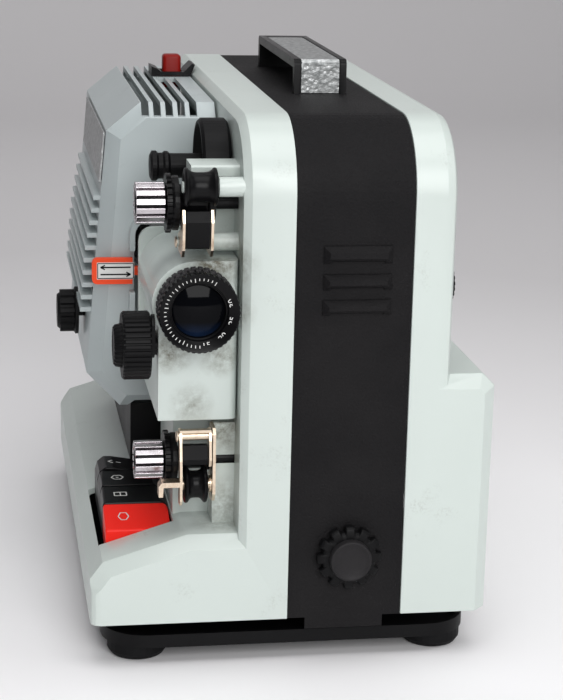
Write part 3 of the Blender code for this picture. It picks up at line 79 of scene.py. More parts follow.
class Signal:  # a socket that can be added, multiplied and so on
    def __init__(self, recipe, socket):
        self.recipe = recipe
        self.socket = socket

    def calc(self, operation, first, second, clamp=False):
        settings = {"operation": operation, "use_clamp": clamp}
        return self.recipe.node("ShaderNodeMath", settings, {0: first, 1: second})[0]

    def __add__(self, other):
        return self.calc("ADD", self, other)

    __radd__ = __add__

    def __mul__(self, other):
        return self.calc("MULTIPLY", self, other)

    __rmul__ = __mul__

    def __sub__(self, other):
        return self.calc("SUBTRACT", self, other)

    def __rsub__(self, other):
        return self.calc("SUBTRACT", other, self)

    def __truediv__(self, other):
        return self.calc("DIVIDE", self, other)

    def __rtruediv__(self, other):
        return self.calc("DIVIDE", other, self)

    def clamped(self):
        return self.calc("ADD", self, 0.0, clamp=True)

    def apart(self, other):  # how far from a value
        gap = self - other
        return self.recipe.node("ShaderNodeMath", {"operation": "ABSOLUTE"}, {0: gap})[0]


class Recipe:  # one material and the nodes that make it
    def __init__(self, name, colour, roughness, metallic=0.0, **constants):
        self.material = bpy.data.materials.new(name)
        self.material.use_nodes = True
        self.tree = self.material.node_tree
        self.shader = self.tree.nodes["Principled BSDF"]
        self.shader.inputs["Base Color"].default_value = (*colour, 1.0)
        self.shader.inputs["Roughness"].default_value = roughness
        self.shader.inputs["Metallic"].default_value = metallic
        for socketName, value in constants.items():
            self.shader.inputs[socketName.replace("_", " ")].default_value = value
        self.where = self.node("ShaderNodeTexCoord", {}, {})["Object"]

    def node(self, kind, settings, values):
        made = self.tree.nodes.new(kind)
        for key, value in settings.items():
            setattr(made, key, value)
        for key, value in values.items():
            if isinstance(value, Signal):
                self.tree.links.new(value.socket, made.inputs[key])
            else:
                made.inputs[key].default_value = value
        return Outputs(self, made)

    def noise(self, size, detail=2.0, stretch=(1.0, 1.0, 1.0), roughness=0.5):
        place = self.node("ShaderNodeMapping", {}, {"Vector": self.where, "Scale": stretch})["Vector"]
        values = {"Vector": place, "Scale": 1.0 / size, "Detail": detail, "Roughness": roughness}
        return self.node("ShaderNodeTexNoise", {}, values)["Fac"]

    def cells(self, size, feature="F1"):
        values = {"Vector": self.where, "Scale": 1.0 / size}
        return self.node("ShaderNodeTexVoronoi", {"feature": feature}, values)["Distance"]

    def mixed(self, amount, first, second, blend="MIX"):
        values = {0: amount, 6: first, 7: second}
        return self.node("ShaderNodeMix", {"data_type": "RGBA", "blend_type": blend}, values)[2]

    def axis(self, name):
        return self.node("ShaderNodeSeparateXYZ", {}, {0: self.where})[name]

    def feed(self, socketName, signal):
        self.tree.links.new(signal.socket, self.shader.inputs[socketName])

    def bump(self, height, distance, strength=1.0):
        values = {"Height": height, "Distance": distance, "Strength": strength}
        self.feed("Normal", self.node("ShaderNodeBump", {}, values)["Normal"])


class Outputs:
    def __init__(self, recipe, made):
        self.recipe = recipe
        self.made = made

    def __getitem__(self, key):
        return Signal(self.recipe, self.made.outputs[key])


def shade(colour, factor):
    return (*[min(channel * factor, 1.0) for channel in colour[:3]], 1.0)


paintLook = {
    "colour": (0.585, 0.645, 0.612),
    "darker": 0.93,
    "roughness": 0.26,
    # dark colour mixed in for random dirt and for the painted shade blotches
    "grimeColour": (0.13, 0.12, 0.085),
    "lampCover": (0.42, 0.468, 0.472),
    "orangePeel": 0.00003,
}


# Enamel with faint orange peel, grime in random spots, and painted shade (partly dust) in blotches given as
# (x, y, z, radius, strength).
def casingPaint(name, grime=0.35, shadeAndDustBlotches=(), colour=paintLook["colour"]):
    paint = Recipe(name, colour, paintLook["roughness"], IOR=1.5, Coat_Roughness=0.08)
    clouds = paint.noise(0.06, 3.0)
    specks = paint.noise(0.0011, 2.0)
    dirt = (paint.noise(0.022, 5.0, roughness=0.65) - 0.60) * 4.0
    dirtAndShade = dirt.clamped() * ((specks - 0.45) * 5.0).clamped() * grime
    # Each blotch darkens the enamel round a point: painted shade, partly dust.
    for x, y, z, radius, strength in shadeAndDustBlotches:
        ends = {0: paint.where, 1: at(x, y, z)}
        away = paint.node("ShaderNodeVectorMath", {"operation": "DISTANCE"}, ends)["Value"]
        near = (1.0 - away / (radius * 0.001)).clamped()
        blotch = ((paint.noise(0.004, 6.0, roughness=0.7) - 0.30) * 2.4).clamped()
        dirtAndShade = (dirtAndShade + near * blotch * strength).clamped()
    plain = paint.mixed(clouds, (*colour, 1.0), shade(colour, paintLook["darker"]))
    paint.feed("Base Color", paint.mixed(dirtAndShade, plain, (*paintLook["grimeColour"], 1.0)))
    paint.feed("Roughness", paintLook["roughness"] + clouds * 0.10 + dirtAndShade * 0.3)
    paint.bump(paint.noise(0.0016, 2.0) + specks * 0.3, paintLook["orangePeel"], 0.5)
    return paint.material


grainLook = {
    "colour": (0.0068, 0.0063, 0.0070),
    "dustColour": (0.028, 0.026, 0.026),
    "cell": 0.0008,
    "roughness": 0.55,
    "depth": 0.0002,
}


def leatherGrain(name):  # black grained leathercloth: pebbles with creases between
    cloth = Recipe(name, grainLook["colour"], grainLook["roughness"], Specular_IOR_Level=0.13)
    warp = cloth.noise(0.004, 2.0)
    pebbles = cloth.cells(grainLook["cell"], "SMOOTH_F1")
    creases = cloth.cells(grainLook["cell"] * 2.3, "DISTANCE_TO_EDGE")
    fine = cloth.noise(0.0004, 3.0)
    height = pebbles * -0.8 + (creases * 3.0).clamped() * 0.5 + fine * 0.25 + warp * 0.3
    dusty = ((cloth.noise(0.05, 4.0) - 0.42) * 2.2).clamped() * fine
    clean, dust = (*grainLook["colour"], 1.0), (*grainLook["dustColour"], 1.0)
    cloth.feed("Base Color", cloth.mixed(dusty * 0.5, clean, dust))
    cloth.feed("Roughness", grainLook["roughness"] + pebbles * 0.2 - dusty * 0.08)
    cloth.bump(height, grainLook["depth"], 0.9)
    return cloth.material


def mouldedPlastic(name, colour, roughness, grain=0.0006, depth=0.00002, worn=1.6):
    plastic = Recipe(name, colour, roughness, Specular_IOR_Level=0.13)
    clouds = plastic.noise(0.02, 4.0)
    fine = plastic.noise(grain, 2.0)
    scuffs = ((plastic.noise(0.006, 5.0, (1.0, 1.0, 5.0)) - 0.60) * 5.0).clamped()
    wear = clouds * 0.5 + scuffs * 0.3
    plastic.feed("Base Color", plastic.mixed(wear, (*colour, 1.0), shade(colour, worn)))
    plastic.feed("Roughness", roughness + clouds * 0.12 + scuffs * 0.12)
    plastic.bump(fine, depth, 0.6)
    return plastic.material


def brightMetal(name, colour, roughness, tarnish=(0.2, 0.13, 0.07), tarnished=0.35, brushed=(1.0, 1.0, 12.0)):
    metal = Recipe(name, colour, roughness, 1.0)
    streaks = metal.noise(0.0012, 3.0, brushed)
    blotches = ((metal.noise(0.006, 5.0, roughness=0.7) - 0.50) * 3.5).clamped() * tarnished
    metal.feed("Base Color", metal.mixed(blotches, (*colour, 1.0), (*tarnish, 1.0)))
    metal.feed("Roughness", roughness + streaks * 0.12 + blotches * 0.35)
    metal.bump(streaks, 0.00001, 0.4)
    return metal.material


def hammeredSilver(name):
    silver = Recipe(name, (0.50, 0.51, 0.51), 0.34, 0.75)
    dents = silver.cells(0.0021, "SMOOTH_F1")
    flakes = silver.noise(0.0008, 3.0)
    tone = (dents * 0.9 + flakes * 0.5).clamped()
    silver.feed("Base Color", silver.mixed(tone, (0.62, 0.63, 0.63, 1.0), (0.20, 0.21, 0.21, 1.0)))
    silver.feed("Roughness", 0.26 + flakes * 0.25)
    silver.bump(dents + flakes * 0.4, 0.0003, 0.9)
    return silver.material


def opticalGlass(name, colour, lowerReflectionTint=(0.05, 0.12, 0.5)):
    glass = Recipe(name, colour, 0.04, 0.0, IOR=1.35, Specular_IOR_Level=0.12)
    haze = glass.noise(0.008, 3.0)
    # The lower part of the glass is tinted towards a painted reflection colour, patchy with the haze noise.
    low = ((at(0, 0, 147).z - glass.axis("Z")) * 160.0).clamped()
    glass.feed("Base Color", glass.mixed(low * 0.5 * haze, (*colour, 1.0), (*lowerReflectionTint, 1.0)))
    glass.feed("Roughness", 0.03 + haze * 0.05)
    return glass.material


print("materials")
pale = casingPaint("casingEnamel")
# Painted shade, partly dust: darker blotches on the bay's walls under the rollers and beside and above the
# lens block.
bayShadeAndDust = [
    (-30, 21, 92, 18, 1.5),
    (-30, 21, 50, 18, 1.0),
    (-26, 10, 172, 15, 1.4),
    (-27, 6, 150, 12, 0.9),
]
leftPale = casingPaint("leftCasingEnamel", 0.4, bayShadeAndDust)
# Painted shade, partly dust: darker blotches on the carriage under the lens and near its top.
carriageShadeAndDust = [
    (-56, 12, 130, 13, 1.4),
    (-32, 12, 128, 13, 1.1),
    (-36, 12, 171, 16, 1.7),
    (-46, 12, 104, 12, 0.8),
]
carriagePale = casingPaint("carriageEnamel", 0.5, carriageShadeAndDust)
lampPale = casingPaint("lampCoverEnamel", 0.6, colour=paintLook["lampCover"])
grained = leatherGrain("leatherGrain")
satinBlack = mouldedPlastic("satinBlackPlastic", (0.0032, 0.0031, 0.0035), 0.42)
glossBlack = mouldedPlastic("glossBlackPlastic", (0.0030, 0.0029, 0.0033), 0.26)
rubberBlack = mouldedPlastic("footRubber", (0.005, 0.005, 0.0055), 0.55, 0.0009, 0.00005)
signalRed = mouldedPlastic("signalRedPlastic", (0.86, 0.022, 0.014), 0.28, worn=1.1)
# The release button's red is a darker copy of the signal red: painted shade.
shadedButtonRed = mouldedPlastic("shadedButtonRedPlastic", (0.19, 0.006, 0.004), 0.3, worn=1.3)
leverRed = mouldedPlastic("leverRedPlastic", (0.80, 0.075, 0.025), 0.35, worn=1.15)
chrome = brightMetal("flutedChrome", (0.52, 0.49, 0.51), 0.18, (0.2, 0.16, 0.16), 0.4)
guideMetal = brightMetal("guideNickel", (0.72, 0.60, 0.47), 0.24, (0.25, 0.12, 0.05), 0.7)
plainSteel = brightMetal("plainSteel", (0.50, 0.50, 0.51), 0.32)
hammered = hammeredSilver("hammeredSilver")
glassDark = opticalGlass("frontGlassCoating", (0.0016, 0.0018, 0.0026), (0.015, 0.04, 0.11))
lampGlass = opticalGlass("lampGlassHaze", (0.55, 0.56, 0.55), (0.4, 0.4, 0.4))
whiteInk = mouldedPlastic("whiteInk", (0.74, 0.74, 0.72), 0.4, worn=0.7)
wornRubber = mouldedPlastic("wornRubberBlocks", (0.016, 0.015, 0.016), 0.5, 0.0009, 0.00004, 6.0)
pittedBlack = mouldedPlastic("pittedBlackPlastic", (0.016, 0.015, 0.016), 0.42, 0.0012, 0.0003)
iron = mouldedPlastic("varnishedIron", (0.20, 0.13, 0.08), 0.5)

finishes = {
    "casing_paint": pale,
    "grained_cover": grained,
    "black_plastic": satinBlack,
    "gloss_black": glossBlack,
    "foot_rubber": rubberBlack,
    "red_plastic": signalRed,
    "lever_plastic": leverRed,
    "bright_chrome": chrome,
    "guide_metal": guideMetal,
    "plain_steel": plainSteel,
    "silver_trim": hammered,
    "mirror_coat": chrome,
    "clear_glass": lampGlass,
    "coated_glass": glassDark,
    "iron_core": iron,
}
for part in frame["record"]["subparts"]:
    mesh = nodes[part["node"]].data
    mesh.materials.clear()
    mesh.materials.append(finishes[part["material_slot"]])


def bodyOf(node):
    return nodes[node]["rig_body"]


def slotOf(node):
    return next(part["material_slot"] for part in frame["record"]["subparts"] if part["node"] == node)


def settle(piece, node, material, standsFor=()):
    piece.data.materials.clear()
    piece.data.materials.append(material)
    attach(piece, bodyOf(node))
    slotOf(node)
    if standsFor:
        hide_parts(*standsFor)
    return piece


def meshPiece(name, bm):
    mesh = bpy.data.meshes.new(name)
    bm.to_mesh(mesh)
    bm.free()
    piece = bpy.data.objects.new(name, mesh)
    bpy.context.scene.collection.objects.link(piece)
    return piece


edgeLook = {"segments": 2, "roundFrom": 28.0, "roundDetailFrom": 30.0, "sharpFrom": 40.0}


def softened(node, width, material=None):  # the CAD's shape with rounded edges
    bm = bmesh.new()
    bm.from_mesh(nodes[node].data)
    bmesh.ops.remove_doubles(bm, verts=bm.verts, dist=0.00001)
    bmesh.ops.dissolve_limit(bm, angle_limit=math.radians(1.0), verts=bm.verts, edges=bm.edges)
    piece = meshPiece(node + "_finished", bm)
    rounding = piece.modifiers.new("rounding", "BEVEL")
    rounding.width = width * 0.001
    rounding.segments = edgeLook["segments"]
    rounding.limit_method = "ANGLE"
    rounding.angle_limit = math.radians(edgeLook["roundFrom"])
    rounding.harden_normals = True
    rounding.miter_outer = "MITER_ARC"
    piece.data.shade_smooth()
    piece.data.set_sharp_from_angle(angle=math.radians(edgeLook["sharpFrom"]))
    return settle(piece, node, material or finishes[slotOf(node)], [node])


roundings = {
    "left_casing": 0.7,
    "right_casing": 0.9,
    "lamphouse_cover": 0.6,
    "lens_carriage": 0.9,
    "base_plate": 0.7,
    "handle_frame": 0.8,
    "format_lever": 0.3,
    "release_button": 0.3,
}
paints = {
    "left_casing": leftPale,
    "lens_carriage": carriagePale,
    "lamphouse_cover": lampPale,
    "release_button": shadedButtonRed,
}
for node, width in roundings.items():
    softened(node, width, material=paints.get(node))
print("rounded shells")


turns = {
    "x": Matrix.Rotation(math.radians(90), 4, "Y"),
    "-x": Matrix.Rotation(math.radians(-90), 4, "Y"),
    "-y": Matrix.Rotation(math.radians(90), 4, "X"),
    "y": Matrix.Rotation(math.radians(-90), 4, "X"),
    "z": Matrix.Identity(4),
}


# Turns a (radius, height) profile. Ribs, where asked for, are cut inwards by depth between two heights.
def addTurned(
    bm, start, axis, profile, sides=64, ribs=0, depth=0.0, between=(0.0, 0.0), land=0.2, beyond=0.0
):
    turn = Matrix.Translation(at(*start)) @ turns[axis]
    rings = []
    for radius, height in profile:
        if radius < 0.001:
            rings.append([bm.verts.new(turn @ Vector((0, 0, height * 0.001)))])
            continue
        ring = []
        for index in range(sides):
            angle = 2 * math.pi * index / sides
            reach = radius
            if ribs and radius > beyond and between[0] <= height <= between[1]:
                reach -= depth * (0.5 - 0.5 * math.tanh(5.0 * (math.cos(angle * ribs) + land)))
            spot = Vector((reach * math.cos(angle), reach * math.sin(angle), height)) * 0.001
            ring.append(bm.verts.new(turn @ spot))
        rings.append(ring)
    for near, far in zip(rings, rings[1:]):
        for index in range(sides):
            after = (index + 1) % sides
            if len(near) == 1:
                bm.faces.new((near[0], far[after], far[index]))
            elif len(far) == 1:
                bm.faces.new((near[index], near[after], far[0]))
            else:
                bm.faces.new((near[index], near[after], far[after], far[index]))


def addBar(bm, start, end, width, height, up):  # a box along a line of the drawing
    first, last = at(*start), at(*end)
    along = last - first
    side = Vector(up).cross(along).normalized() * (width * 0.0005)
    lift = along.cross(side).normalized() * (height * 0.0005)
    signs = ((-1, -1), (1, -1), (1, 1), (-1, 1))
    corners = [bm.verts.new(place + side * a + lift * b) for place in (first, last) for a, b in signs]
    for loop in ((0, 1, 2, 3), (4, 5, 6, 7), (0, 1, 5, 4), (1, 2, 6, 5), (2, 3, 7, 6), (3, 0, 4, 7)):
        bm.faces.new([corners[index] for index in loop])


def addLine(bm, points, width, height, up):
    for start, end in zip(points, points[1:]):
        addBar(bm, start, end, width, height, up)


def finished(name, bm, node, material, standsFor=(), edge=0.0, segments=2):
    bmesh.ops.recalc_face_normals(bm, faces=bm.faces)
    piece = meshPiece(name, bm)
    if edge:
        rounding = piece.modifiers.new("rounding", "BEVEL")
        rounding.width = edge * 0.001
        rounding.segments = segments
        rounding.limit_method = "ANGLE"
        rounding.angle_limit = math.radians(edgeLook["roundDetailFrom"])
        rounding.harden_normals = True
    piece.data.shade_smooth()
    piece.data.set_sharp_from_angle(angle=math.radians(edgeLook["sharpFrom"]))
    return settle(piece, node, material, standsFor)


def middle(node):
    low, high = spanOf(node)
    return (low + high) / 2


knobLook = {"ribs": 14, "ribHeight": 2.2, "ribShare": 0.63, "edge": 0.3, "ribInset": 0.3, "coreLength": 13.2}


def inchingKnob(node):  # bright bars let into a black core
    low, high = spanOf(node)
    centre = middle(node)
    radius = (high.z - low.z) / 2
    bars = bmesh.new()
    width = 2 * math.pi * radius / knobLook["ribs"] * knobLook["ribShare"]
    for index in range(knobLook["ribs"]):
        angle = 2 * math.pi * (index + 0.5) / knobLook["ribs"]
        out = Vector((0, math.cos(angle), math.sin(angle)))
        spot = centre + out * (radius - knobLook["ribHeight"] / 2 - 0.05)
        near = (low.x + knobLook["ribInset"], spot.y, spot.z)
        far = (high.x - knobLook["ribInset"], spot.y, spot.z)
        addBar(bars, near, far, width, knobLook["ribHeight"], out)
    finished(node + "_bars", bars, node, chrome, [node], knobLook["edge"], 3)
    core = bmesh.new()
    inner = radius - 1.9
    end = knobLook["coreLength"]
    profile = [
        (0, 12.6), (inner - 3.4, 12.6), (inner - 2.8, end), (inner - 0.8, end),
        (inner, 12.4), (inner, 0.4), (inner - 0.5, 0), (0, 0),
    ]
    addTurned(core, (high.x, centre.y, centre.z), "-x", profile, 48)
    finished(node + "_core", core, node, glossBlack)


for node in ("upper_inching_knob", "lower_inching_knob"):
    inchingKnob(node)

lensLook = {
    "mouth": 13.0,
    "faceOuter": 17.6,
    "knurlRadius": 18.6,
    "knurls": 44,
    "coneSlope": 0.365,
    "coneTurn": 0.35,
    "ticks": 30,
    "tickStart": 62,
    "tickStep": 7.2,
    "tickWidth": 0.34,
    "numbers": ("15", "20", "25", "30"),
    "numberStart": -78,
    "numberStep": 32,
    "numberRadius": 15.2,
    "numberSize": 0.0040,
}
opticX, opticZ = middle("lens_barrel").x, middle("lens_barrel").z
barrelLow, barrelHigh = spanOf("lens_barrel")


def coneY(radius):  # where the lens's front cone stands at a radius
    return barrelLow.y + 1.8 - (radius - lensLook["mouth"] - 0.6) * lensLook["coneSlope"]


def lensFront():
    body = bmesh.new()
    depth = barrelHigh.y - barrelLow.y
    mouth, outer, knurl = lensLook["mouth"], lensLook["faceOuter"], lensLook["knurlRadius"]
    profile = [
        (mouth - 2.4, depth - 9.4), (mouth - 2.2, depth - 7.4), (mouth - 0.9, depth - 7.0),
        (mouth - 0.6, depth - 4.4), (mouth, depth - 4.0), (mouth + 0.2, depth - 2.2),
        (mouth + 0.6, depth - 1.8), (outer - 0.2, depth - 0.3), (outer + 0.3, depth),
        (knurl - 0.5, depth), (knurl, depth - 0.6), (knurl, depth - 4.2), (knurl - 0.5, depth - 4.6),
        (16.4, depth - 4.6), (16.4, 0.0), (mouth - 2.4, 0.0), (mouth - 2.4, depth - 9.4),
    ]
    between = (depth - 4.3, depth - 0.5)
    start = (opticX, barrelHigh.y, opticZ)
    addTurned(body, start, "-y", profile, 352, lensLook["knurls"], 0.5, between, 0.2, knurl - 0.2)
    finished("lens_body", body, "lens_barrel", glossBlack, ["lens_barrel"])
    marks = bmesh.new()
    for index in range(lensLook["ticks"]):
        angle = math.radians(lensLook["tickStart"] + index * lensLook["tickStep"])
        long = index % 5 == 0
        near, far = (14.3 if long else 15.0), 16.2
        ends = []
        for radius in (near, far):
            y = coneY(radius) - 0.02
            ends.append((opticX + radius * math.cos(angle), y, opticZ + radius * math.sin(angle)))
        addBar(marks, ends[0], ends[1], lensLook["tickWidth"], 0.12, (0, -1, 0))
    finished("lens_marks", marks, "lens_barrel", whiteInk)
    for index, text in enumerate(lensLook["numbers"]):
        angle = math.radians(lensLook["numberStart"] + index * lensLook["numberStep"])
        curve = bpy.data.curves.new("number" + text, "FONT")
        curve.body = text
        curve.size = lensLook["numberSize"]
        curve.extrude = 0.00006
        curve.align_x = "CENTER"
        curve.align_y = "CENTER"
        holder = bpy.data.objects.new("holder" + text, curve)
        bpy.context.scene.collection.objects.link(holder)
        bpy.context.view_layer.update()
        flat = bpy.data.meshes.new_from_object(holder.evaluated_get(bpy.context.evaluated_depsgraph_get()))
        bpy.data.objects.remove(holder)
        reach = lensLook["numberRadius"]
        spot = at(opticX + reach * math.cos(angle), coneY(reach), opticZ + reach * math.sin(angle))
        spin = Matrix.Rotation(math.radians(90), 4, "X") @ Matrix.Rotation(angle + math.radians(90), 4, "Z")
        tilt = Matrix.Rotation(lensLook["coneTurn"], 4, Vector((-math.sin(angle), 0, math.cos(angle))))
        flat.transform(Matrix.Translation(spot) @ tilt @ spin)
        number = bpy.data.objects.new("lens_number_" + text, flat)
        bpy.context.scene.collection.objects.link(number)
        settle(number, "lens_barrel", whiteInk)
    glass = bmesh.new()
    dome = [(0.0, 4.8), (3.0, 4.68), (6.0, 4.3), (9.0, 3.7), (12.0, 2.8), (12.0, 0.0), (0.0, 0.0)]
    addTurned(glass, (opticX, spanOf("front_glass")[1].y, opticZ), "-y", dome, 96)
    finished("front_glass_dome", glass, "front_glass", glassDark, ["front_glass"])


zoomLook = {
    "rows": ((0.9, 5.0), (6.3, 10.4)),
    "blocks": 36,
    "blockRadius": 18.05,
    "blockWidth": 2.3,
    "blockHeight": 1.1,
}


def zoomRing():  # two rows of rubber blocks with worn tops
    low, high = spanOf("zoom_ring")
    ring = bmesh.new()
    length = high.y - low.y
    profile = [
        (16.9, length), (17.4, length), (17.9, length - 0.5),
        (17.9, 0.5), (17.4, 0.0), (16.9, 0.0), (16.9, length),
    ]
    addTurned(ring, (opticX, high.y, opticZ), "-y", profile, 96)
    finished("zoom_ring_base", ring, "zoom_ring", glossBlack, ["zoom_ring"])
    blocks = bmesh.new()
    width, height = zoomLook["blockWidth"], zoomLook["blockHeight"]
    for row, (near, far) in enumerate(zoomLook["rows"]):
        for index in range(zoomLook["blocks"]):
            angle = 2 * math.pi * (index + 0.5 * row) / zoomLook["blocks"]
            out = Vector((math.cos(angle), 0, math.sin(angle)))
            spot = Vector((opticX, 0, opticZ)) + out * zoomLook["blockRadius"]
            ends = [(spot.x, low.y + reach, spot.z) for reach in (near, far)]
            addBar(blocks, *ends, width, height, out)
    finished("zoom_ring_blocks", blocks, "zoom_ring", wornRubber, (), 0.25)


focusLook = {"seatX": -61.9, "rimRibs": 36, "rimDepth": 0.9, "capRibs": 24, "capDepth": 0.7}


def focusKnob():  # a ribbed rim and a finer ribbed cap
    centre = middle("focus_knob")
    start = (focusLook["seatX"], centre.y, centre.z)
    knob = bmesh.new()
    rim = [
        (10.0, 16.3), (10.4, 16.7), (14.9, 16.7), (15.75, 15.8), (15.75, 4.7),
        (15.0, 3.9), (10.4, 3.9), (10.0, 4.3), (10.0, 16.3),
    ]
    ribs, depth = focusLook["rimRibs"], focusLook["rimDepth"]
    addTurned(knob, start, "-x", rim, 288, ribs, depth, (4.0, 16.0), 0.3, 15.2)
    cap = [
        (0, 20.2), (6.6, 20.2), (7.2, 20.5), (8.6, 20.5), (9.6, 19.6),
        (10.3, 16.4), (10.3, 3.9), (2.5, 3.9), (2.5, 0), (0, 0),
    ]
    ribs, depth = focusLook["capRibs"], focusLook["capDepth"]
    addTurned(knob, start, "-x", cap, 240, ribs, depth, (15.0, 20.6), 0.2, 8.0)
    finished("focus_knob_ribbed", knob, "focus_knob", satinBlack, ["focus_knob"])


def roller(node, waist):  # flanges and a hollowed waist
    low, high = spanOf(node)
    centre = middle(node)
    width = high.x - low.x
    radius = (high.z - low.z) / 2
    profile = [
        (3.0, width), (radius - 1.2, width), (radius - 0.4, width - 0.3),
        (radius, width - 0.9), (radius - 0.2, width - 1.7),
    ]
    for step in range(9):
        share = -1 + step / 4
        profile.append((waist + (radius - 0.9 - waist) * share**4, width / 2 - share * (width / 2 - 2.2)))
    profile += [
        (radius - 0.2, 1.7), (radius, 0.9), (radius - 0.4, 0.3),
        (radius - 1.2, 0), (3.0, 0), (3.0, width),
    ]
    body = bmesh.new()
    addTurned(body, (high.x, centre.y, centre.z), "-x", profile, 80)
    finished(node + "_turned", body, node, glossBlack, [node])


rollerWaists = {"upper_roller": 6.6, "lower_roller": 6.4}

pinLook = {"radius": 2.7, "height": 0.9}
pinHeads = {"upper_guide_pin_head": (-52.4, 22.0, 179.0), "lower_guide_pin_head": (-52.6, 9.0, 89.5)}


def pinHead(name, start):  # the domed end of a guide's pin
    radius, height = pinLook["radius"], pinLook["height"]
    head = bmesh.new()
    profile = [
        (0, height), (radius * 0.55, height), (radius * 0.9, height * 0.7),
        (radius, height * 0.3), (radius, 0), (0, 0),
    ]
    addTurned(head, start, "-x", profile, 40)
    finished(name, head, "left_casing", guideMetal)


tiltLook = {"lobes": 12, "lobeDepth": 2.5, "lobeShare": 0.35}


def tiltKnob():  # a lobed ring round a dished cap
    centre = middle("tilt_ring")
    ring = bmesh.new()
    profile = [
        (9.9, 5.0), (13.6, 5.0), (14.9, 4.4), (15.55, 3.4),
        (15.55, 0.9), (14.8, 0.1), (9.9, 0.0), (9.9, 5.0),
    ]
    start = (centre.x, spanOf("tilt_ring")[1].y, centre.z)
    lobes, depth, share = tiltLook["lobes"], tiltLook["lobeDepth"], tiltLook["lobeShare"]
    addTurned(ring, start, "-y", profile, 288, lobes, depth, (-1, 6), share)
    finished("tilt_ring_lobes", ring, "tilt_ring", satinBlack, ["tilt_ring"])
    cap = bmesh.new()
    dish = [
        (0, 2.5), (3.4, 2.6), (6.8, 3.0), (8.0, 3.4), (8.9, 3.9),
        (9.6, 3.7), (9.9, 3.0), (9.9, 0), (0, 0),
    ]
    addTurned(cap, (centre.x, spanOf("tilt_cap")[1].y, centre.z), "-y", dish, 72)
    finished("tilt_cap_dished", cap, "tilt_cap", pittedBlack, ["tilt_cap"])


labelLook = {"low": 145.6, "high": 153.2, "middle": 149.4, "arrows": ((147.6, 1), (151.2, -1))}


def leverLabel():  # a white label with a border and two arrows
    low, high = spanOf("format_lever")
    y = low.y
    front = y - 0.2
    toward = (0, -1, 0)
    face = bmesh.new()
    centreZ = labelLook["middle"]
    addBar(face, (low.x + 2.4, y - 0.06, centreZ), (high.x - 5.2, y - 0.06, centreZ), 8.6, 0.16, toward)
    finished("lever_label", face, "format_lever", whiteInk, (), 0.05)
    ink = bmesh.new()
    x0, x1 = low.x + 2.8, high.x - 5.6
    z0, z1 = labelLook["low"], labelLook["high"]
    border = [(x0, z0), (x1, z0), (x1, z1), (x0, z1), (x0, z0)]
    addLine(ink, [(x, front, z) for x, z in border], 0.4, 0.1, toward)
    for z, way in labelLook["arrows"]:
        tip = x1 - 1.4 if way > 0 else x0 + 1.4
        tail = x0 + 1.4 if way > 0 else x1 - 1.4
        barb = tip - 2.2 * way
        addLine(ink, [(tail, front, z), (tip, front, z)], 0.7, 0.1, toward)
        addLine(ink, [(barb, front, z + 1.1), (tip, front, z), (barb, front, z - 1.1)], 0.6, 0.1, toward)
    finished("lever_arrows", ink, "format_lever", glossBlack)


keyLook = {"iconX": -75.2, "iconWidth": 1.15, "iconLength": 1.25, "line": 0.55, "lift": 0.06}
keyIcons = {
    "key_lamp": ([(-2.2, 0), (-1.2, 2.2), (1.2, 2.2), (2.2, 0), (1.0, -2.0), (-1.0, -2.0), (-2.2, 0)],),
    "key_run": ([(-2.6, -1.6), (2.6, -1.6), (2.6, 1.6), (-2.6, 1.6), (-2.6, -1.6)], [(0, -1.6), (0, 1.6)]),
    "key_reel": (
        [(2.6, 0), (1.3, 2.0), (-1.3, 2.0), (-2.6, 0), (-1.3, -2.0), (1.3, -2.0), (2.6, 0)],
        [(-0.6, 0), (0.6, 0)],
    ),
    "key_reverse": ([(2.8, 0), (-2.8, 0)], [(-0.8, 1.8), (-2.8, 0), (-0.8, -1.8)]),
}


def keyIcon(node, strokes):
    shape = nodes[node].data
    centre = middle(node)
    marks = bmesh.new()
    for stroke in strokes:
        points = []
        for a, b in stroke:
            x, y = keyLook["iconX"] + a * keyLook["iconWidth"], centre.y + b * keyLook["iconLength"]
            points.append((x, y, surfaceHeight(shape, x, y) + keyLook["lift"]))
        addLine(marks, points, keyLook["line"], 0.1, (0, 0, 1))
    finished(node + "_icon", marks, node, whiteInk)


def surfaceHeight(mesh, x, y):  # drawing height of a mesh's top over a point
    spot = at(x, y, 200)
    best = 0.0
    for face in mesh.polygons:
        if face.normal.z < 0.3:
            continue
        corners = [mesh.vertices[index].co for index in face.vertices]
        hit = intersectRay(corners, spot)
        if hit is not None:
            best = max(best, (hit - drawingOrigin.z) * 1000)
    return best


def intersectRay(corners, spot):
    inside = all(
        (b.x - a.x) * (spot.y - a.y) - (b.y - a.y) * (spot.x - a.x) >= -1e-12
        for a, b in zip(corners, corners[1:] + corners[:1])
    )
    if not inside:
        return None
    flat = (corners[1] - corners[0]).cross(corners[2] - corners[0])
    return corners[0].z - (flat.x * (spot.x - corners[0].x) + flat.y * (spot.y - corners[0].y)) / flat.z


lensFront()
zoomRing()
focusKnob()
for node, waist in rollerWaists.items():
    roller(node, waist)
tiltKnob()
leverLabel()
for node, strokes in keyIcons.items():
    keyIcon(node, strokes)
for name, start in pinHeads.items():
    pinHead(name, start)
print("knobs, lens and marks")


studio = {
    "floorColour": (0.97, 0.96, 0.97),
    # grey that the pale ground is painted towards as painted shade falloff
    "wallColour": (0.60, 0.585, 0.592),
    "frontY": -1.95,
    "wallY": 2.6,
    "bend": 0.9,
    "bendSteps": 12,
    "height": 2.6,
    "halfWidth": 3.0,
}


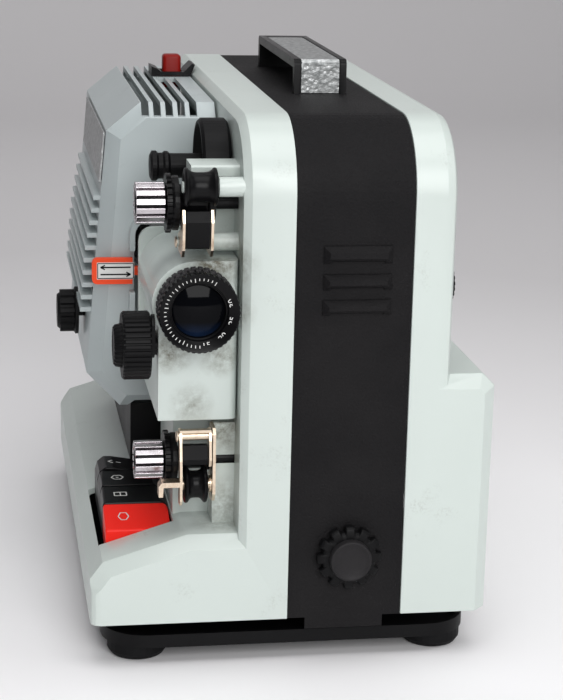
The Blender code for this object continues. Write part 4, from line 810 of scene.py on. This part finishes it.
def backdrop():  # a pale floor that bends up into a wall
    path = [(studio["frontY"], 0.0), (studio["wallY"] - studio["bend"], 0.0)]
    for index in range(1, studio["bendSteps"] + 1):
        turn = math.radians(90 * index / studio["bendSteps"])
        reach = studio["wallY"] - studio["bend"] + studio["bend"] * math.sin(turn)
        path.append((reach, studio["bend"] * (1 - math.cos(turn))))
    path.append((studio["wallY"], studio["height"]))
    half = studio["halfWidth"]
    bm = bmesh.new()
    rows = [[bm.verts.new((x, y, z)) for x in (-half, half)] for y, z in path]
    for near, far in zip(rows, rows[1:]):
        bm.faces.new((near[0], near[1], far[1], far[0]))
    sheet = meshPiece("paleBackdrop", bm)
    sheet.data.shade_smooth()
    cover = Recipe("paleGround", studio["floorColour"], 0.6)
    # Painted shade: the ground turns from pale to grey away from the middle, towards the back and up the
    # wall, standing in for light falling off away from the lamps.
    aside = cover.axis("X").apart(0.0)
    shadeFalloff = (cover.axis("Z") * 3.0 + aside * 0.55 + (cover.axis("Y") + 0.12) * 0.95).clamped()
    mottle = cover.noise(0.5, 2.0) * 0.12
    tone = cover.mixed((shadeFalloff + mottle).clamped(), (*studio["floorColour"], 1.0), (*studio["wallColour"], 1.0))
    cover.feed("Base Color", tone)
    sheet.data.materials.append(cover.material)


backdrop()

lamps = {
    "overhead": {"place": (0.05, -0.45, 1.60), "aim": (0, 0, 0.1), "size": (1.4, 1.2), "watts": 14.0},
    "backWash": {"place": (0.0, 0.9, 1.9), "aim": (0, 2.3, 0.3), "size": (2.6, 0.9), "watts": 16.0},
    "front": {"place": (0.15, -1.95, 0.95), "aim": (0, 0, 0.12), "size": (1.1, 1.1), "watts": 26.0},
    "rightFill": {"place": (1.5, -0.3, 0.8), "aim": (0, 0, 0.12), "size": (1.0, 1.2), "watts": 3.0},
}
for name, lamp in lamps.items():
    light = bpy.data.lights.new(name, "AREA")
    light.shape = "RECTANGLE"
    light.size, light.size_y = lamp["size"]
    light.energy = lamp["watts"]
    holder = bpy.data.objects.new(name, light)
    holder.location = lamp["place"]
    holder.rotation_euler = (Vector(lamp["place"]) - Vector(lamp["aim"])).to_track_quat("Z", "Y").to_euler()
    bpy.context.scene.collection.objects.link(holder)

roomLook = {"Color": (0.95, 0.96, 1.0, 1.0), "Strength": 0.19}
world = bpy.data.worlds.new("softRoom")
world.use_nodes = True
for key, value in roomLook.items():
    world.node_tree.nodes["Background"].inputs[key].default_value = value
bpy.context.scene.world = world
bpy.context.scene.view_settings.view_transform = "Standard"

view = {"place": (-144.11, -838.42, 356.11), "turn": (75.252, -1.269, -9.020), "lens": 98.59}
cameraData = bpy.data.cameras.new("studioCamera")
cameraData.lens = view["lens"]
cameraData.sensor_width = 36.0
cameraData.sensor_fit = "AUTO"
camera = bpy.data.objects.new("studioCamera", cameraData)
camera.location = at(*view["place"])
camera.rotation_euler = [math.radians(turn) for turn in view["turn"]]
bpy.context.scene.collection.objects.link(camera)
bpy.context.scene.camera = camera
print("floor, light and camera")
